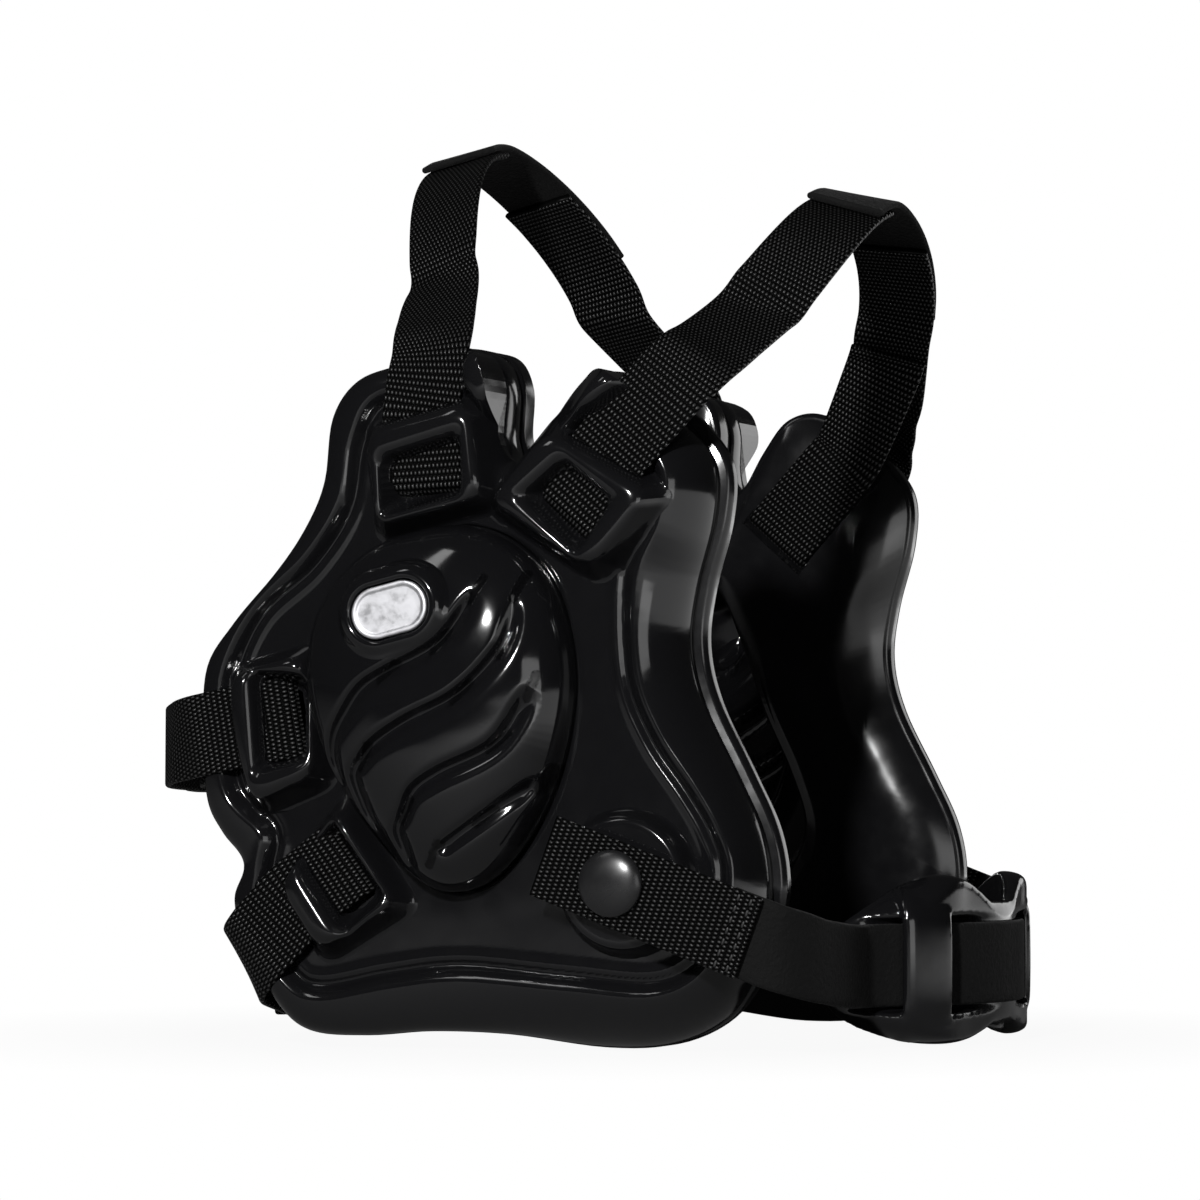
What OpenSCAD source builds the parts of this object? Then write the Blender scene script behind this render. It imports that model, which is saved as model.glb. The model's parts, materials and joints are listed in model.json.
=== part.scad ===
// Wrestling headgear: two padded ear guards joined by crown, back and chin straps.
// Millimetres, +Z up, the wearer faces -Y and the wearer's right is -X.
// Each guard is drawn in its own frame: u forward, v up, n outward from the middle plane.

/* [Guards] */
// Width of an ear guard from its rear edge to its front edge
guard_w = 136; // [130:1:144]
// Height of an ear guard
guard_h = 158; // [152:1:168]
// Distance from the middle plane to the inner face of each pad
pad_x = 62; // [58:0.5:70]
// Thickness of the inner pad
pad_t = 10; // [8:0.5:12]
// Thickness of the guard shell
shell_t = 16; // [14:0.5:18]
// How far the front lip of the pad stands out past the shell
lip = 2.5; // [1:0.1:3.5]
// Radius of the roll around the edge of the shell
shell_edge = 8.8; // [7:0.2:9]
// Radius of the roll around the inner edge of the pad
pad_edge = 3; // [2:0.5:4]

/* [Ear cups] */
// Height of the cup above the face of the shell
cup_h = 17; // [12:0.5:20]
// Wall of the cup
cup_wall = 2.2; // [1.6:0.1:3]
// Gap between the cup and the opening it sits in
cup_gap = 0.2; // [0.1:0.05:0.4]
// Length of a vent slot
vent_l = 8; // [6:0.5:9]
// Width of a vent slot
vent_w = 2.2; // [1.6:0.1:3]
// Length of the badge
badge_l = 18.5; // [16:0.5:20]
// Width of the badge
badge_w = 11.5; // [10:0.5:13]
// Thickness of the badge
badge_t = 1.4; // [1:0.1:2]
// Width of the raised ring around the badge
badge_ring = 3; // [2:0.25:4]
// Depth of the seat that the badge lies in
badge_seat = 1.2; // [0.8:0.1:1.6]

/* [Strap stations] */
// Height of the raised frames above the face of the shell
frame_h = 7; // [5.5:0.5:9]
// Wall of a frame beside the strap
frame_wall = 4.2; // [3:0.2:5]
// Wall of a frame behind the slot
frame_end = 3.6; // [2.8:0.2:4.4]
// Length of the window in a crown frame, from the slot to the bar
crown_window = 10.7; // [9:0.1:12]
// Length of the window in the upper back frame
upper_window = 7.7; // [7:0.1:9]
// Length of the window in the lower back frame
lower_window = 10; // [9:0.1:11]
// Width of the bridge bar, measured along the strap
bar_l = 5.8; // [4.6:0.2:7]
// Width of the slot that the strap passes through
slot_l = 4.6; // [4:0.1:5.2]
// Radius of the corners of a frame
frame_r = 3; // [2:0.5:4]

/* [Straps] */
// Width of the straps
web_w = 19; // [17:0.5:20]
// Thickness of the webbing and of the pile band
web_t = 1.6; // [1.2:0.1:1.8]
// Gap between two layers of strap
layer_gap = 0.2; // [0.1:0.05:0.3]
// Free room beside a strap in its slot
strap_side = 0.6; // [0.4:0.1:1]
// Height of the top of the front crown strap
front_top = 196.6; // [190:0.2:204]
// Height of the top of the rear crown strap
rear_top = 210.8; // [204:0.2:220]
// Half the span of the front crown strap where its arch springs
front_span = 60; // [57:0.5:63]
// Half the span of the rear crown strap where its arch springs
rear_span = 62; // [58:0.5:66]
// Distance of the upper back strap behind the middle of the guards
upper_back_reach = 84; // [80:1:94]
// Distance of the lower back strap behind the middle of the guards
lower_back_reach = 60; // [58:1:68]

/* [Chin strap] */
// Length of the woven tab behind the snap
tab_back = 17.5; // [13:0.5:18]
// Length of the woven tab in front of the snap
tab_front = 34; // [31:0.5:36]
// Overlap of the pile band under the woven tab
tab_lap = 7; // [5:0.5:9]
// Slope of the woven tab, down towards the front
tab_slope = 20.5; // [16:0.5:24]
// Radius of the strap's bend around the chin
chin_r = 57.4; // [54:0.2:60]
// Height of the middle of the strap above the foot of the chin cup
chin_z = 18.5; // [17:0.5:20]
// How far the chin cup hangs below the foot of the guards
chin_drop = 1.5; // [0.5:0.25:3]
// Height of the chin cup
cup_height = 39; // [36:0.5:42]
// Wall of the chin cup
chin_wall = 3; // [2:0.2:4]
// Free room on each face of the strap inside the chin cup
chin_gap = 0.5; // [0.3:0.1:0.8]
// Thickness of the bars on the chin cup
chin_bar_t = 3.4; // [2.4:0.2:4]
// Half the angle that the chin cup spans around the chin
chin_span = 59; // [52:1:60]

/* [Snaps] */
// Diameter of the snap cap
cap_d = 15; // [13:0.5:16]
// Height of the dome of the cap
cap_h = 3.2; // [2.4:0.2:4]
// Diameter of the raised boss under the snap
boss_d = 30; // [27:0.5:32]
// Height of the boss above the face of the shell
boss_h = 4; // [3:0.25:5]
// Diameter of the nose of the stud
nose_d = 5.4; // [5:0.1:6]
// Running gap between the nose and the socket, on the radius
nose_gap = 0.05; // [0.02:0.01:0.09]
// Diameter of the socket
socket_d = 11; // [10:0.25:12]
// Height of the socket
socket_h = 2.6; // [2.2:0.1:3.2]
// Diameter of the flanges of the stud and of the post
flange_d = 12; // [10.5:0.5:13]
// Thickness of the sheet metal of the snap
metal_t = 0.8; // [0.5:0.1:1]
// Diameter of the stems of the cap and of the post
stem_d = 3; // [2.4:0.1:3.2]

/* [Hidden] */

// Colours of the materials
vinyl = [0.05, 0.05, 0.055];
moulded = [0.07, 0.07, 0.075];
webbing = [0.1, 0.1, 0.1];
pile = [0.04, 0.04, 0.04];
silver = [0.85, 0.85, 0.87];
black_cap = [0.12, 0.12, 0.13];

// Levels on the n axis, from the middle plane outward
shell_in = pad_x + pad_t;
face = shell_in + shell_t;
frame_top = face + frame_h;
boss_top = face + boss_h;
cup_top = face + cup_h;
badge_top = cup_top - 1;

// The outlines below are drawn for a guard of this size and stretched to guard_w and guard_h
drawn_w = 136;
drawn_h = 158;
function at(p) = [p[0] * guard_w / drawn_w, p[1] * guard_h / drawn_h];

// Outline of the shell, clockwise seen from outside, from the rear of its foot
guard_points = [
    [-34, 1.8], [-42, 8], [-50, 21], [-53, 32], [-50.5, 40], [-56, 47], [-60, 55], [-61, 71],
    [-60, 86], [-53, 96], [-43, 106.8], [-35.2, 117.6], [-30.4, 128.4], [-28.4, 143], [-22, 151.5],
    [-11, 155], [1, 158], [10.2, 156.8], [14, 149.5], [13.8, 138.5], [16.3, 132], [20.5, 133.8],
    [25.5, 142.5], [31.5, 150.5], [39.5, 152.3], [48, 147.2], [57, 138.5], [62, 130], [61.5, 118],
    [57.5, 103], [56, 90], [59, 77], [67, 61], [73, 48], [75, 35], [73, 20], [66, 7.2],
    [53, 0.1], [36, -1.2], [14, 1.6], [-4, 2.1], [-20, 0.9]
];
// Outline of the ear cup and of the opening it sits in
cup_points = [
    [2, 117.5], [15, 115.5], [26, 107], [31.5, 94], [33, 78], [29, 59], [20, 43], [9, 34.5],
    [-3, 36], [-17, 50], [-27, 65], [-31.5, 84], [-27.5, 101], [-15, 113]
];
// Outline of the ear opening in the pad
ear_points = [
    [2, 115], [13, 108], [20, 93], [25.5, 77], [32.5, 62], [36.5, 49], [33, 38], [21, 29.5],
    [6, 29], [-4, 36], [-16, 52], [-25.5, 66], [-29.5, 84], [-25.5, 100], [-13, 111.5]
];
cup_middle = at([1, 77]);

// Strap stations: middle of the slot, direction in which the strap leaves, length of the window
rear_crown = [at([-3.5, 125.5]), 92, crown_window];
front_crown = [at([29.8, 119.6]), 48, crown_window];
upper_back = [at([-36, 74]), 190, upper_window];
lower_back = [at([-22.5, 41.5]), 217, lower_window];
stations = [rear_crown, front_crown, upper_back, lower_back];
snap = at([45.4, 36.4]);
badge_at = concat(at([-4, 98]), 13);

// Vent slots in the cup: place and angle
vents = [
    [at([16.5, 101.5]), 62], [at([25, 98.5]), 72], [at([8.5, 90.5]), 50], [at([22.5, 89.5]), 66],
    [at([29, 80]), 68], [at([28.5, 60]), 60], [at([17, 51]), 38], [at([5.5, 43]), 58],
    [at([-12, 63.5]), 62], [at([-6, 83.5]), 40], [at([11.3, 78.8]), 46], [at([19.5, 68]), 42],
    [at([-3, 52.5]), 60]
];

// Fit and mesh values
curve_steps = 3;
strap_steps = 2;
nudge = 0.05;
cup_rings = 7;

// Point on a Catmull-Rom piece between b and c
function blend(a, b, c, d, t) =
    0.5 * (2 * b + (c - a) * t + (2 * a - 5 * b + 4 * c - d) * t * t
    + (3 * b - a - 3 * c + d) * t * t * t);

// Smooth closed curve through points p
function closed_curve(p, steps = curve_steps) = [
    for (i = [0:len(p) - 1]) for (k = [0:steps - 1])
        blend(p[(i + len(p) - 1) % len(p)], p[i], p[(i + 1) % len(p)], p[(i + 2) % len(p)],
            k / steps)
];

// Smooth open curve through points p
function open_curve(p, steps = strap_steps) = concat([
    for (i = [0:len(p) - 2]) for (k = [0:steps - 1])
        blend(i > 0 ? p[i - 1] : 2 * p[0] - p[1], p[i], p[i + 1],
            i + 2 < len(p) ? p[i + 2] : 2 * p[i + 1] - p[i], k / steps)
], [p[len(p) - 1]]);

function unit(v) = v / norm(v);
function reversed(p) = [for (i = [len(p) - 1:-1:0]) p[i]];
function placed(p) = [for (q = p) at(q)];

// A closed clockwise curve moved inward by d, eased over its tight corners
function inset(p, d, ease = 3) = [
    for (i = [0:len(p) - 1])
        let (t = unit(p[(i + ease) % len(p)] - p[(i + len(p) - ease) % len(p)]))
            p[i] + d * [t[1], -t[0]]
];

guard_curve = closed_curve(placed(guard_points));
cup_curve = closed_curve(placed(cup_points));
ear_curve = closed_curve(placed(ear_points));

// The front of the outline moved out to make the lip of the pad
function lipped(p) = [
    for (q = p) q + [lip * max(0, min(1, (q[0] - 40) / 15)) * min(1, max(0, q[1] - 10) / 25), 0]
];

// Solid through rings of equal length, each given with its n level
module loft(rings) {
    m = len(rings[0]);
    last = len(rings) - 1;
    polyhedron(
        points = [for (ring = rings) for (q = ring) q],
        faces = concat(
            [[for (i = [m - 1:-1:0]) i]],
            [[for (i = [0:m - 1]) last * m + i]],
            [for (k = [0:last - 1]) for (i = [0:m - 1]) each [
                [k * m + i, k * m + (i + 1) % m, (k + 1) * m + i],
                [k * m + (i + 1) % m, (k + 1) * m + (i + 1) % m, (k + 1) * m + i]
            ]]
        ),
        convexity = 6
    );
}

function level(p, n) = [for (q = p) [q[0], q[1], n]];

// Rectangle with round corners, from [0, -w/2] to [l, w/2]
module rounded_bar(l, w, r) {
    translate([r, -w / 2]) square([l - 2 * r, w]);
    translate([0, r - w / 2]) square([l, w - 2 * r]);
    for (x = [r, l - r], y = [r - w / 2, w / 2 - r]) translate([x, y]) circle(r, $fn = 32);
}

// Slot shape with round ends, centred, its length along x
module pill(l, w) {
    square([l - w, w], center = true);
    for (x = [-1, 1]) translate([x * (l - w) / 2, 0]) circle(d = w, $fn = 32);
}

// Places what is drawn in a guard's frame at the wearer's right or left
module on_right() { rotate([90, 0, -90]) children(); }
module on_left() { mirror([1, 0, 0]) on_right() children(); }

// Places what is drawn along a strap at its station
module at_station(s) { translate([s[0][0], s[0][1], 0]) rotate([0, 0, s[1]]) children(); }

/* ---- Guard ---- */

strap_room = web_w + 2 * strap_side;
frame_w = strap_room + 2 * frame_wall;
frame_back = slot_l / 2 + frame_end;
strap_pass = web_t + 1.2;
seat = 0.2;

module station_frame(s) {
    translate([-frame_back, 0, face - frame_r]) linear_extrude(frame_h + frame_r)
        rounded_bar(frame_back + s[2] + bar_l, frame_w, frame_r);
}

module station_cuts(s) {
    // window from the slot to the bar
    translate([-slot_l / 2, -strap_room / 2, face - seat])
        cube([s[2] + slot_l / 2, strap_room, 50]);
    // way out under the bar
    translate([0, -strap_room / 2, face - seat]) cube([60, strap_room, strap_pass + seat]);
}

module station_slot() {
    translate([-slot_l / 2, -strap_room / 2, pad_x - 5]) cube([slot_l, strap_room, 60]);
}

module shell() {
    difference() {
        union() {
            difference() {
                loft([
                    level(inset(guard_curve, 1.5), shell_in),
                    level(guard_curve, shell_in + 2.5),
                    level(guard_curve, face - shell_edge),
                    level(inset(guard_curve, 0.14 * shell_edge), face - 0.52 * shell_edge),
                    level(inset(guard_curve, 0.42 * shell_edge), face - 0.19 * shell_edge),
                    level(inset(guard_curve, 0.95 * shell_edge), face + 0.03 * shell_edge)
                ]);
                // the face is cut flat
                translate([-guard_w, -guard_h, face]) cube([2 * guard_w, 3 * guard_h, shell_edge]);
            }
            for (s = stations) at_station(s) station_frame(s);
            translate([snap[0], snap[1], face - 1]) cylinder(h = boss_h + 1, d = boss_d, $fn = 64);
        }
        // opening for the ear and its cup
        translate([0, 0, shell_in - 1]) linear_extrude(shell_t + frame_h + 2) polygon(cup_curve);
        for (s = stations) at_station(s) { station_cuts(s); station_slot(); }
        translate([snap[0], snap[1], 0]) snap_bores();
    }
}

module snap_bores() {
    translate([0, 0, shell_in - 1]) cylinder(h = shell_t + boss_h + 2, d = stem_d, $fn = 48);
    translate([0, 0, shell_in - 1]) cylinder(h = 1 + metal_t + layer_gap, d = flange_d + 0.4, $fn = 48);
}

module pad() {
    pad_curve = lipped(guard_curve);
    difference() {
        loft([
            level(inset(pad_curve, pad_edge), pad_x),
            level(inset(pad_curve, 0.3 * pad_edge), pad_x + 0.35 * pad_edge),
            level(pad_curve, pad_x + pad_edge),
            level(pad_curve, shell_in - 2),
            level(inset(pad_curve, 1.2), shell_in)
        ]);
        translate([0, 0, pad_x - 1]) linear_extrude(pad_t + 2) polygon(ear_curve);
        for (s = stations) at_station(s) station_slot();
    }
}

/* ---- Ear cup ---- */

// Domed solid over the cup outline, its side walls drawn in by d
module cup_solid(d, bottom, top) {
    base = inset(cup_curve, d);
    rise = top - face;
    power = 2 / 2.4;
    loft(concat(
        [level(base, bottom)],
        [for (k = [0:cup_rings])
            let (a = 86 * k / cup_rings, s = pow(cos(a), power), h = pow(sin(a), power))
                [for (q = base) let (p = cup_middle + s * (q - cup_middle))
                    [p[0], p[1], face + rise * h]]]
    ));
}

ring_l = badge_l + 2 * badge_ring;
ring_w = badge_w + 2 * badge_ring;

module cup() {
    difference() {
        union() {
            cup_solid(cup_gap, shell_in + nudge, cup_top);
            translate([badge_at[0], badge_at[1], badge_top - 4]) rotate([0, 0, badge_at[2]])
                linear_extrude(4 + badge_seat) pill(ring_l, ring_w);
        }
        cup_solid(cup_gap + cup_wall, shell_in - 1, cup_top - cup_wall);
        translate([badge_at[0], badge_at[1], badge_top]) rotate([0, 0, badge_at[2]])
            linear_extrude(20) pill(badge_l + 0.3, badge_w + 0.3);
        for (q = vents) translate([q[0][0], q[0][1], face - 4]) rotate([0, 0, q[1]])
            linear_extrude(40) pill(vent_l, vent_w);
    }
}

module badge() {
    translate([badge_at[0], badge_at[1], badge_top]) rotate([0, 0, badge_at[2]])
        linear_extrude(badge_t) pill(badge_l, badge_w);
}

/* ---- Snaps ---- */

tab_n = boss_top + metal_t + socket_h + layer_gap;
nose_top = boss_top + metal_t + socket_h - metal_t;

module snap_post() {
    translate([snap[0], snap[1], 0]) {
        translate([0, 0, shell_in + layer_gap]) cylinder(h = metal_t, d = flange_d, $fn = 48);
        translate([0, 0, shell_in + layer_gap]) cylinder(h = boss_top - shell_in, d = stem_d, $fn = 48);
    }
}

module snap_stud() {
    translate([snap[0], snap[1], 0]) difference() {
        union() {
            translate([0, 0, boss_top]) cylinder(h = metal_t, d = flange_d, $fn = 48);
            translate([0, 0, boss_top]) cylinder(h = nose_top - boss_top, d = nose_d, $fn = 48);
        }
        translate([0, 0, boss_top - 1]) cylinder(h = 1 + metal_t, d = stem_d, $fn = 48);
    }
}

module snap_socket() {
    translate([snap[0], snap[1], boss_top + metal_t + layer_gap / 2]) difference() {
        cylinder(h = socket_h - layer_gap / 2, d = socket_d, $fn = 48);
        translate([0, 0, -1])
            cylinder(h = 1 + socket_h - metal_t, d = nose_d + 2 * nose_gap, $fn = 48);
        cylinder(h = socket_h + 1, d = stem_d, $fn = 48);
    }
}

module snap_cap() {
    under = tab_n + web_t;
    // the dome is a slice of a ball
    ball = (cap_d * cap_d / 4 + cap_h * cap_h) / (2 * cap_h);
    translate([snap[0], snap[1], under]) {
        intersection() {
            translate([0, 0, cap_h - ball]) sphere(ball, $fn = 96);
            cylinder(h = cap_h + 1, d = cap_d, $fn = 64);
        }
        translate([0, 0, -web_t - metal_t]) cylinder(h = web_t + metal_t + 0.5, d = stem_d, $fn = 48);
    }
}

/* ---- Straps ---- */

// Tangent, true width direction and face direction of a strap along p with widths w
function tangent(p, i) = unit(p[min(i + 1, len(p) - 1)] - p[max(i - 1, 0)]);
function true_side(p, w, i) = let (t = tangent(p, i)) unit(w[i] - (w[i] * t) * t);
function face_way(p, w, i) = cross(tangent(p, i), true_side(p, w, i));
// A strap's path moved out by d along its face direction
function lifted(p, w, d) = [for (i = [0:len(p) - 1]) p[i] + d * face_way(p, w, i)];

// Flat strap along points p, each with its width direction in w
module strap(p, w) {
    m = len(p);
    points = [for (i = [0:m - 1])
        let (a = web_w / 2 * true_side(p, w, i), b = web_t / 2 * face_way(p, w, i))
            each [p[i] + a + b, p[i] - a + b, p[i] - a - b, p[i] + a - b]];
    faces = concat(
        [[0, 1, 2, 3]],
        [[for (k = [3:-1:0]) 4 * (m - 1) + k]],
        [for (i = [0:m - 2]) for (k = [0:3]) each [
            [4 * i + k, 4 * (i + 1) + k, 4 * i + (k + 1) % 4],
            [4 * i + (k + 1) % 4, 4 * (i + 1) + k, 4 * (i + 1) + (k + 1) % 4]
        ]]
    );
    polyhedron(points = points, faces = faces, convexity = 8);
}

// A point in a left guard's frame: along the strap of station s, at level n
function on_strap(s, along, n) = [n, -s[0][0] - along * cos(s[1]), s[0][1] + along * sin(s[1])];
// The width direction of the strap at a station
function across(s) = [0, sin(s[1]), cos(s[1])];
function world(q) = [q[0], -q[1], q[2]];

layer = web_t + layer_gap;
strap_clear = 0.3;
outer_n = face + web_t / 2 + strap_clear;
inner_n = pad_x - web_t / 2 - strap_clear;

// The loop of a strap through its station, from outside the bar to the inner side
function station_loop(s, last) = [
    on_strap(s, s[2] + bar_l, outer_n), on_strap(s, 8, outer_n), on_strap(s, 3.6, outer_n),
    on_strap(s, 1.4, outer_n - 0.2), on_strap(s, -0.2, outer_n - 1.8), on_strap(s, -0.7, outer_n - 5),
    on_strap(s, -0.7, inner_n + 5), on_strap(s, -0.2, inner_n + 1.8), on_strap(s, 1.4, inner_n + 0.2),
    on_strap(s, 3.6, inner_n), on_strap(s, 8, inner_n), on_strap(s, last, inner_n)
];
loop_count = 12;
function repeat(w, times) = [for (i = [1:times]) w];

// Point on an arch of given half span, spring height and top, at angle a from the left
function arch_power(a, e) = sign(a) * pow(abs(a), 2 / e);
function arch(a, span, spring, top, e) =
    [span * arch_power(cos(a), e), spring + (top - spring) * arch_power(sin(a), e)];

// Rear crown strap; the straps lie twisted, so side is 1 at the wearer's left and -1 at the right
rear_spring = 162 * guard_h / drawn_h;
rear_shape = 1.76;
rear_cone = 10.6;
rear_twist = 7.8;
function rear_point(a) =
    let (q = arch(a, rear_span, rear_spring, rear_top, rear_shape))
        world([q[0], along(-9.8) - 16 * pow(sin(a), 2), q[1]]);
function rear_side(a, side) =
    let (tilt = rear_cone - side * rear_twist * cos(a))
        [-sin(tilt) * cos(a), cos(tilt), -sin(tilt) * sin(a)];

// Front crown strap
front_spring = 150 * guard_h / drawn_h;
front_shape = 1.57;
front_cone = 11.8;
front_twist = 15.8;
function front_point(a) =
    let (q = arch(a, front_span, front_spring, front_top, front_shape),
        s = (q[1] - front_spring) / (front_top - front_spring))
        world([q[0], along(52) + 20.5 * (1 - pow(max(0, 1 - s), 1.8)), q[1]]);
function front_side(a, side) =
    let (tilt = front_cone - side * front_twist * cos(a))
        [sin(tilt) * cos(a), cos(tilt), sin(tilt) * sin(a)];

function up(v) = v * guard_h / drawn_h;
function along(u) = u * guard_w / drawn_w;
// A point beside a guard, its u and v drawn for the guard's drawn size
function spot(n, u, v) = world([n, along(u), up(v)]);

// Points and width directions of an arch from angle a to b
function rear_points(a, b, step) = [for (i = [a:step:b]) rear_point(i)];
function rear_sides(a, b, step, side) = [for (i = [a:step:b]) rear_side(i, side)];
function front_points(a, b, step) = [for (i = [a:step:b]) front_point(i)];
function front_sides(a, b, step, side) = [for (i = [a:step:b]) front_side(i, side)];

// Woven tab of the rear crown strap: down the arch, through its station and back up inside
module rear_web(end_angle, cut_angle, side) {
    s = rear_crown;
    over = [
        spot(rear_span + 10, -7.2, 167.5), spot(face - 8, -4.6, 163),
        spot(face - 2, -2.8, 158), spot(face + 0.9, -2.8, 152.3),
        spot(outer_n, -3.4, 147)
    ];
    back = [spot(inner_n - 0.5, -5, 157)];
    inside = lifted(rear_points(20, cut_angle, 8), rear_sides(20, cut_angle, 8, side), layer);
    p = concat(rear_points(end_angle, 20, -8), over, station_loop(s, 24), back, inside);
    w = concat(rear_sides(end_angle, 20, -8, side), [rear_side(0, side) + across(s)],
        repeat(across(s), 4 + loop_count + 1), rear_sides(20, cut_angle, 8, side));
    strap(open_curve(p), open_curve(w));
}

// Woven tab of the front crown strap
module front_web(end_angle, cut_angle, side) {
    s = front_crown;
    over = [
        spot(front_span + 10, 60.8, 158.8), spot(face - 8, 59.6, 154.8),
        spot(face - 1.8, 56.6, 149.8), spot(face + 0.6, 51.8, 144),
        spot(outer_n, 47, 138.7)
    ];
    back = [spot(inner_n - 0.6, 50, 142)];
    inside = lifted(front_points(20, cut_angle, 6), front_sides(20, cut_angle, 6, side), layer);
    p = concat(front_points(end_angle, 22, -8), over, station_loop(s, 24), back, inside);
    w = concat(front_sides(end_angle, 22, -8, side),
        [front_side(0, side) + across(s), front_side(0, side) + 3 * across(s)],
        repeat(across(s), 3 + loop_count + 1), front_sides(20, cut_angle, 6, side));
    strap(open_curve(p), open_curve(w));
}

// Pile band over the top of the head, outside the two woven tabs
module crown_band(p, w) { strap(lifted(open_curve(p), open_curve(w), layer + layer_gap), open_curve(w)); }
module front_band() { crown_band(front_points(108, 36, -8), front_sides(108, 36, -8, 1)); }
module rear_band() { crown_band(rear_points(108, 36, -8), rear_sides(108, 36, -8, 1)); }

/* ---- Back straps ---- */

// Straight run of a back strap: past the rear edge of the guard and round behind the head
upper_route = [
    [face + 0.7, -57.5, 70.2], [face - 2, -63.5, 69.2], [face - 9, -70.8, 68.1],
    [face - 22, -78, 67], [face - 48, -83.2, 66.3]
];
lower_route = [
    [face + 1.3, -39.8, 27], [face + 1.1, -44.8, 21.8], [face - 4, -50, 17.2],
    [face - 16, -51.2, 15], [face - 46, -58.3, 12.9]
];
upper_level = 66;
lower_level = 12.5;
end_n = 30;
lap_n = 42;

// A route drawn for one reach, its start tied to the guard and its end to the true reach
function shifted(route, reach, drawn) = [
    for (i = [0:len(route) - 1])
        let (q = route[i], k = i / (len(route) - 1))
            [q[0], -q[1] * (k + (1 - k) * guard_w / drawn_w) + k * (reach - drawn), up(q[2])]
];

// Woven tab of a back strap: from behind the head, through its station and back inside
module back_web(s, route, inner_route, reach, drawn, level, turned) {
    outside = reversed(shifted(route, reach, drawn));
    inside = shifted(inner_route, reach, drawn);
    tip = [[end_n, reach, up(level)]];
    p = concat(tip, outside, station_loop(s, 20), inside);
    w = concat([[0, 0, 1]], reversed(turned), repeat(-across(s), loop_count), [
        for (i = [0:len(inside) - 1]) turned[i]
    ]);
    strap(open_curve(p), open_curve(w));
}

module upper_web() {
    s = upper_back;
    side = across(s);
    back_web(s, upper_route, [
        [inner_n, -61.5, 69.5], [inner_n - 1.5, -68, 68.6], [inner_n - 5, -73.3, 67.8],
        [inner_n - 12, -77.6, 67]
    ], upper_back_reach, 84, upper_level, [-side, -side, [0, 0, 1], [0, 0, 1], [0, 0, 1]]);
}

module lower_web() {
    s = lower_back;
    side = -across(s);
    back_web(s, lower_route, [
        [inner_n - 0.4, -40.5, 25.5], [inner_n - 1.6, -44.5, 21.2], [inner_n - 4, -48, 17.8],
        [inner_n - 10, -51.2, 15.4]
    ], lower_back_reach, 60, lower_level,
        [side, side, side + [0, 0, 0.2], side + [0, 0, 0.8], [0, 0, 1]]);
}

module upper_band() { back_band(upper_route, upper_back_reach, 84, upper_level); }
module lower_band() { back_band(lower_route, lower_back_reach, 60, lower_level); }

// Pile band across the back, outside the two woven tabs
module back_band(route, reach, drawn, level) {
    half = [for (q = shifted(route, reach, drawn)) if (q[0] < lap_n + 6) q];
    p = concat(half, [[end_n, reach, up(level)], [0, reach, up(level)]]);
    whole = concat(p, [for (i = [len(p) - 2:-1:0]) [-p[i][0], p[i][1], p[i][2]]]);
    curve = open_curve(whole, 3);
    w = repeat([0, 0, 1], len(curve));
    strap(lifted(curve, w, layer + 2 * layer_gap), w);
}

/* ---- Chin strap ---- */

tab_mid = tab_n + web_t / 2;
band_mid = tab_mid - layer;
slope = [cos(tab_slope), -sin(tab_slope)];
function on_tab(along, n) = world([n, snap[0] + along * slope[0], snap[1] + along * slope[1]]);
strap_z = chin_z - chin_drop;
function on_chin(a) = world([chin_r * sin(a), snap[0] + chin_offset + chin_r * cos(a), strap_z]);
chin_offset = 6.6;
chin_bend = 46.5;

// A point just past the end of the bend, and one a share of the way from there to the tab
function leaving_chin(dn, du) =
    on_chin(chin_bend) + [dn, -du, 0];
function beside_chin(share, du, dv) =
    let (e = on_chin(chin_bend)) [e[0] + share * (band_mid - e[0]), e[1] + 5.2 - du, strap_z + dv];

module chin_web() {
    translate([snap[0], snap[1], tab_n]) rotate([0, 0, -tab_slope])
        linear_extrude(web_t) difference() {
            translate([-tab_back, -web_w / 2]) square([tab_back + tab_front, web_w]);
            circle(d = stem_d + 2 * layer_gap, $fn = 48);
        }
}

module chin_pile() {
    start = tab_front - tab_lap;
    side = [0, slope[1], slope[0]];
    half = concat([
        on_tab(start, band_mid), on_tab(start + 3, band_mid - 0.05), on_tab(tab_front, band_mid - 0.6),
        beside_chin(0.955, -4, 5.4), beside_chin(0.875, -0.3, 3.9), beside_chin(0.742, 2, 2.4),
        beside_chin(0.537, 3.1, 1.1), beside_chin(0.324, 3.1, 0.3), leaving_chin(6.9, -2.6),
        leaving_chin(3.4, -1.9)
    ], [for (a = [chin_bend:-6:0]) on_chin(a)]);
    whole = concat(half, [for (i = [len(half) - 2:-1:0]) [-half[i][0], half[i][1], half[i][2]]]);
    ends = [side, side, side, side + [0, 0, 0.6], side + [0, 0, 2.5]];
    w = concat(ends, repeat([0, 0, 1], len(whole) - 2 * len(ends)), reversed(ends));
    strap(open_curve(whole), open_curve(w));
}

// Rows of stitches through the woven tabs and the pile band
module chin_stitching() { on_right() chin_stitches(); on_left() chin_stitches(); }
module chin_stitches() {
    pitch = 2.6;
    rows = [tab_front - 2, tab_front - 5];
    for (row = rows, k = [-3:3])
        translate([snap[0], snap[1], tab_n + web_t]) rotate([0, 0, -tab_slope])
            translate([row - 0.3, k * pitch - 0.8, 0]) cube([0.6, 1.6, 0.35]);
}

/* ---- Chin cup ---- */

wall_out = chin_r - web_t / 2 - chin_gap;
bar_in = chin_r + web_t / 2 + chin_gap;
bar_from = 31.5;
bar_to = 43.5;

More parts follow.
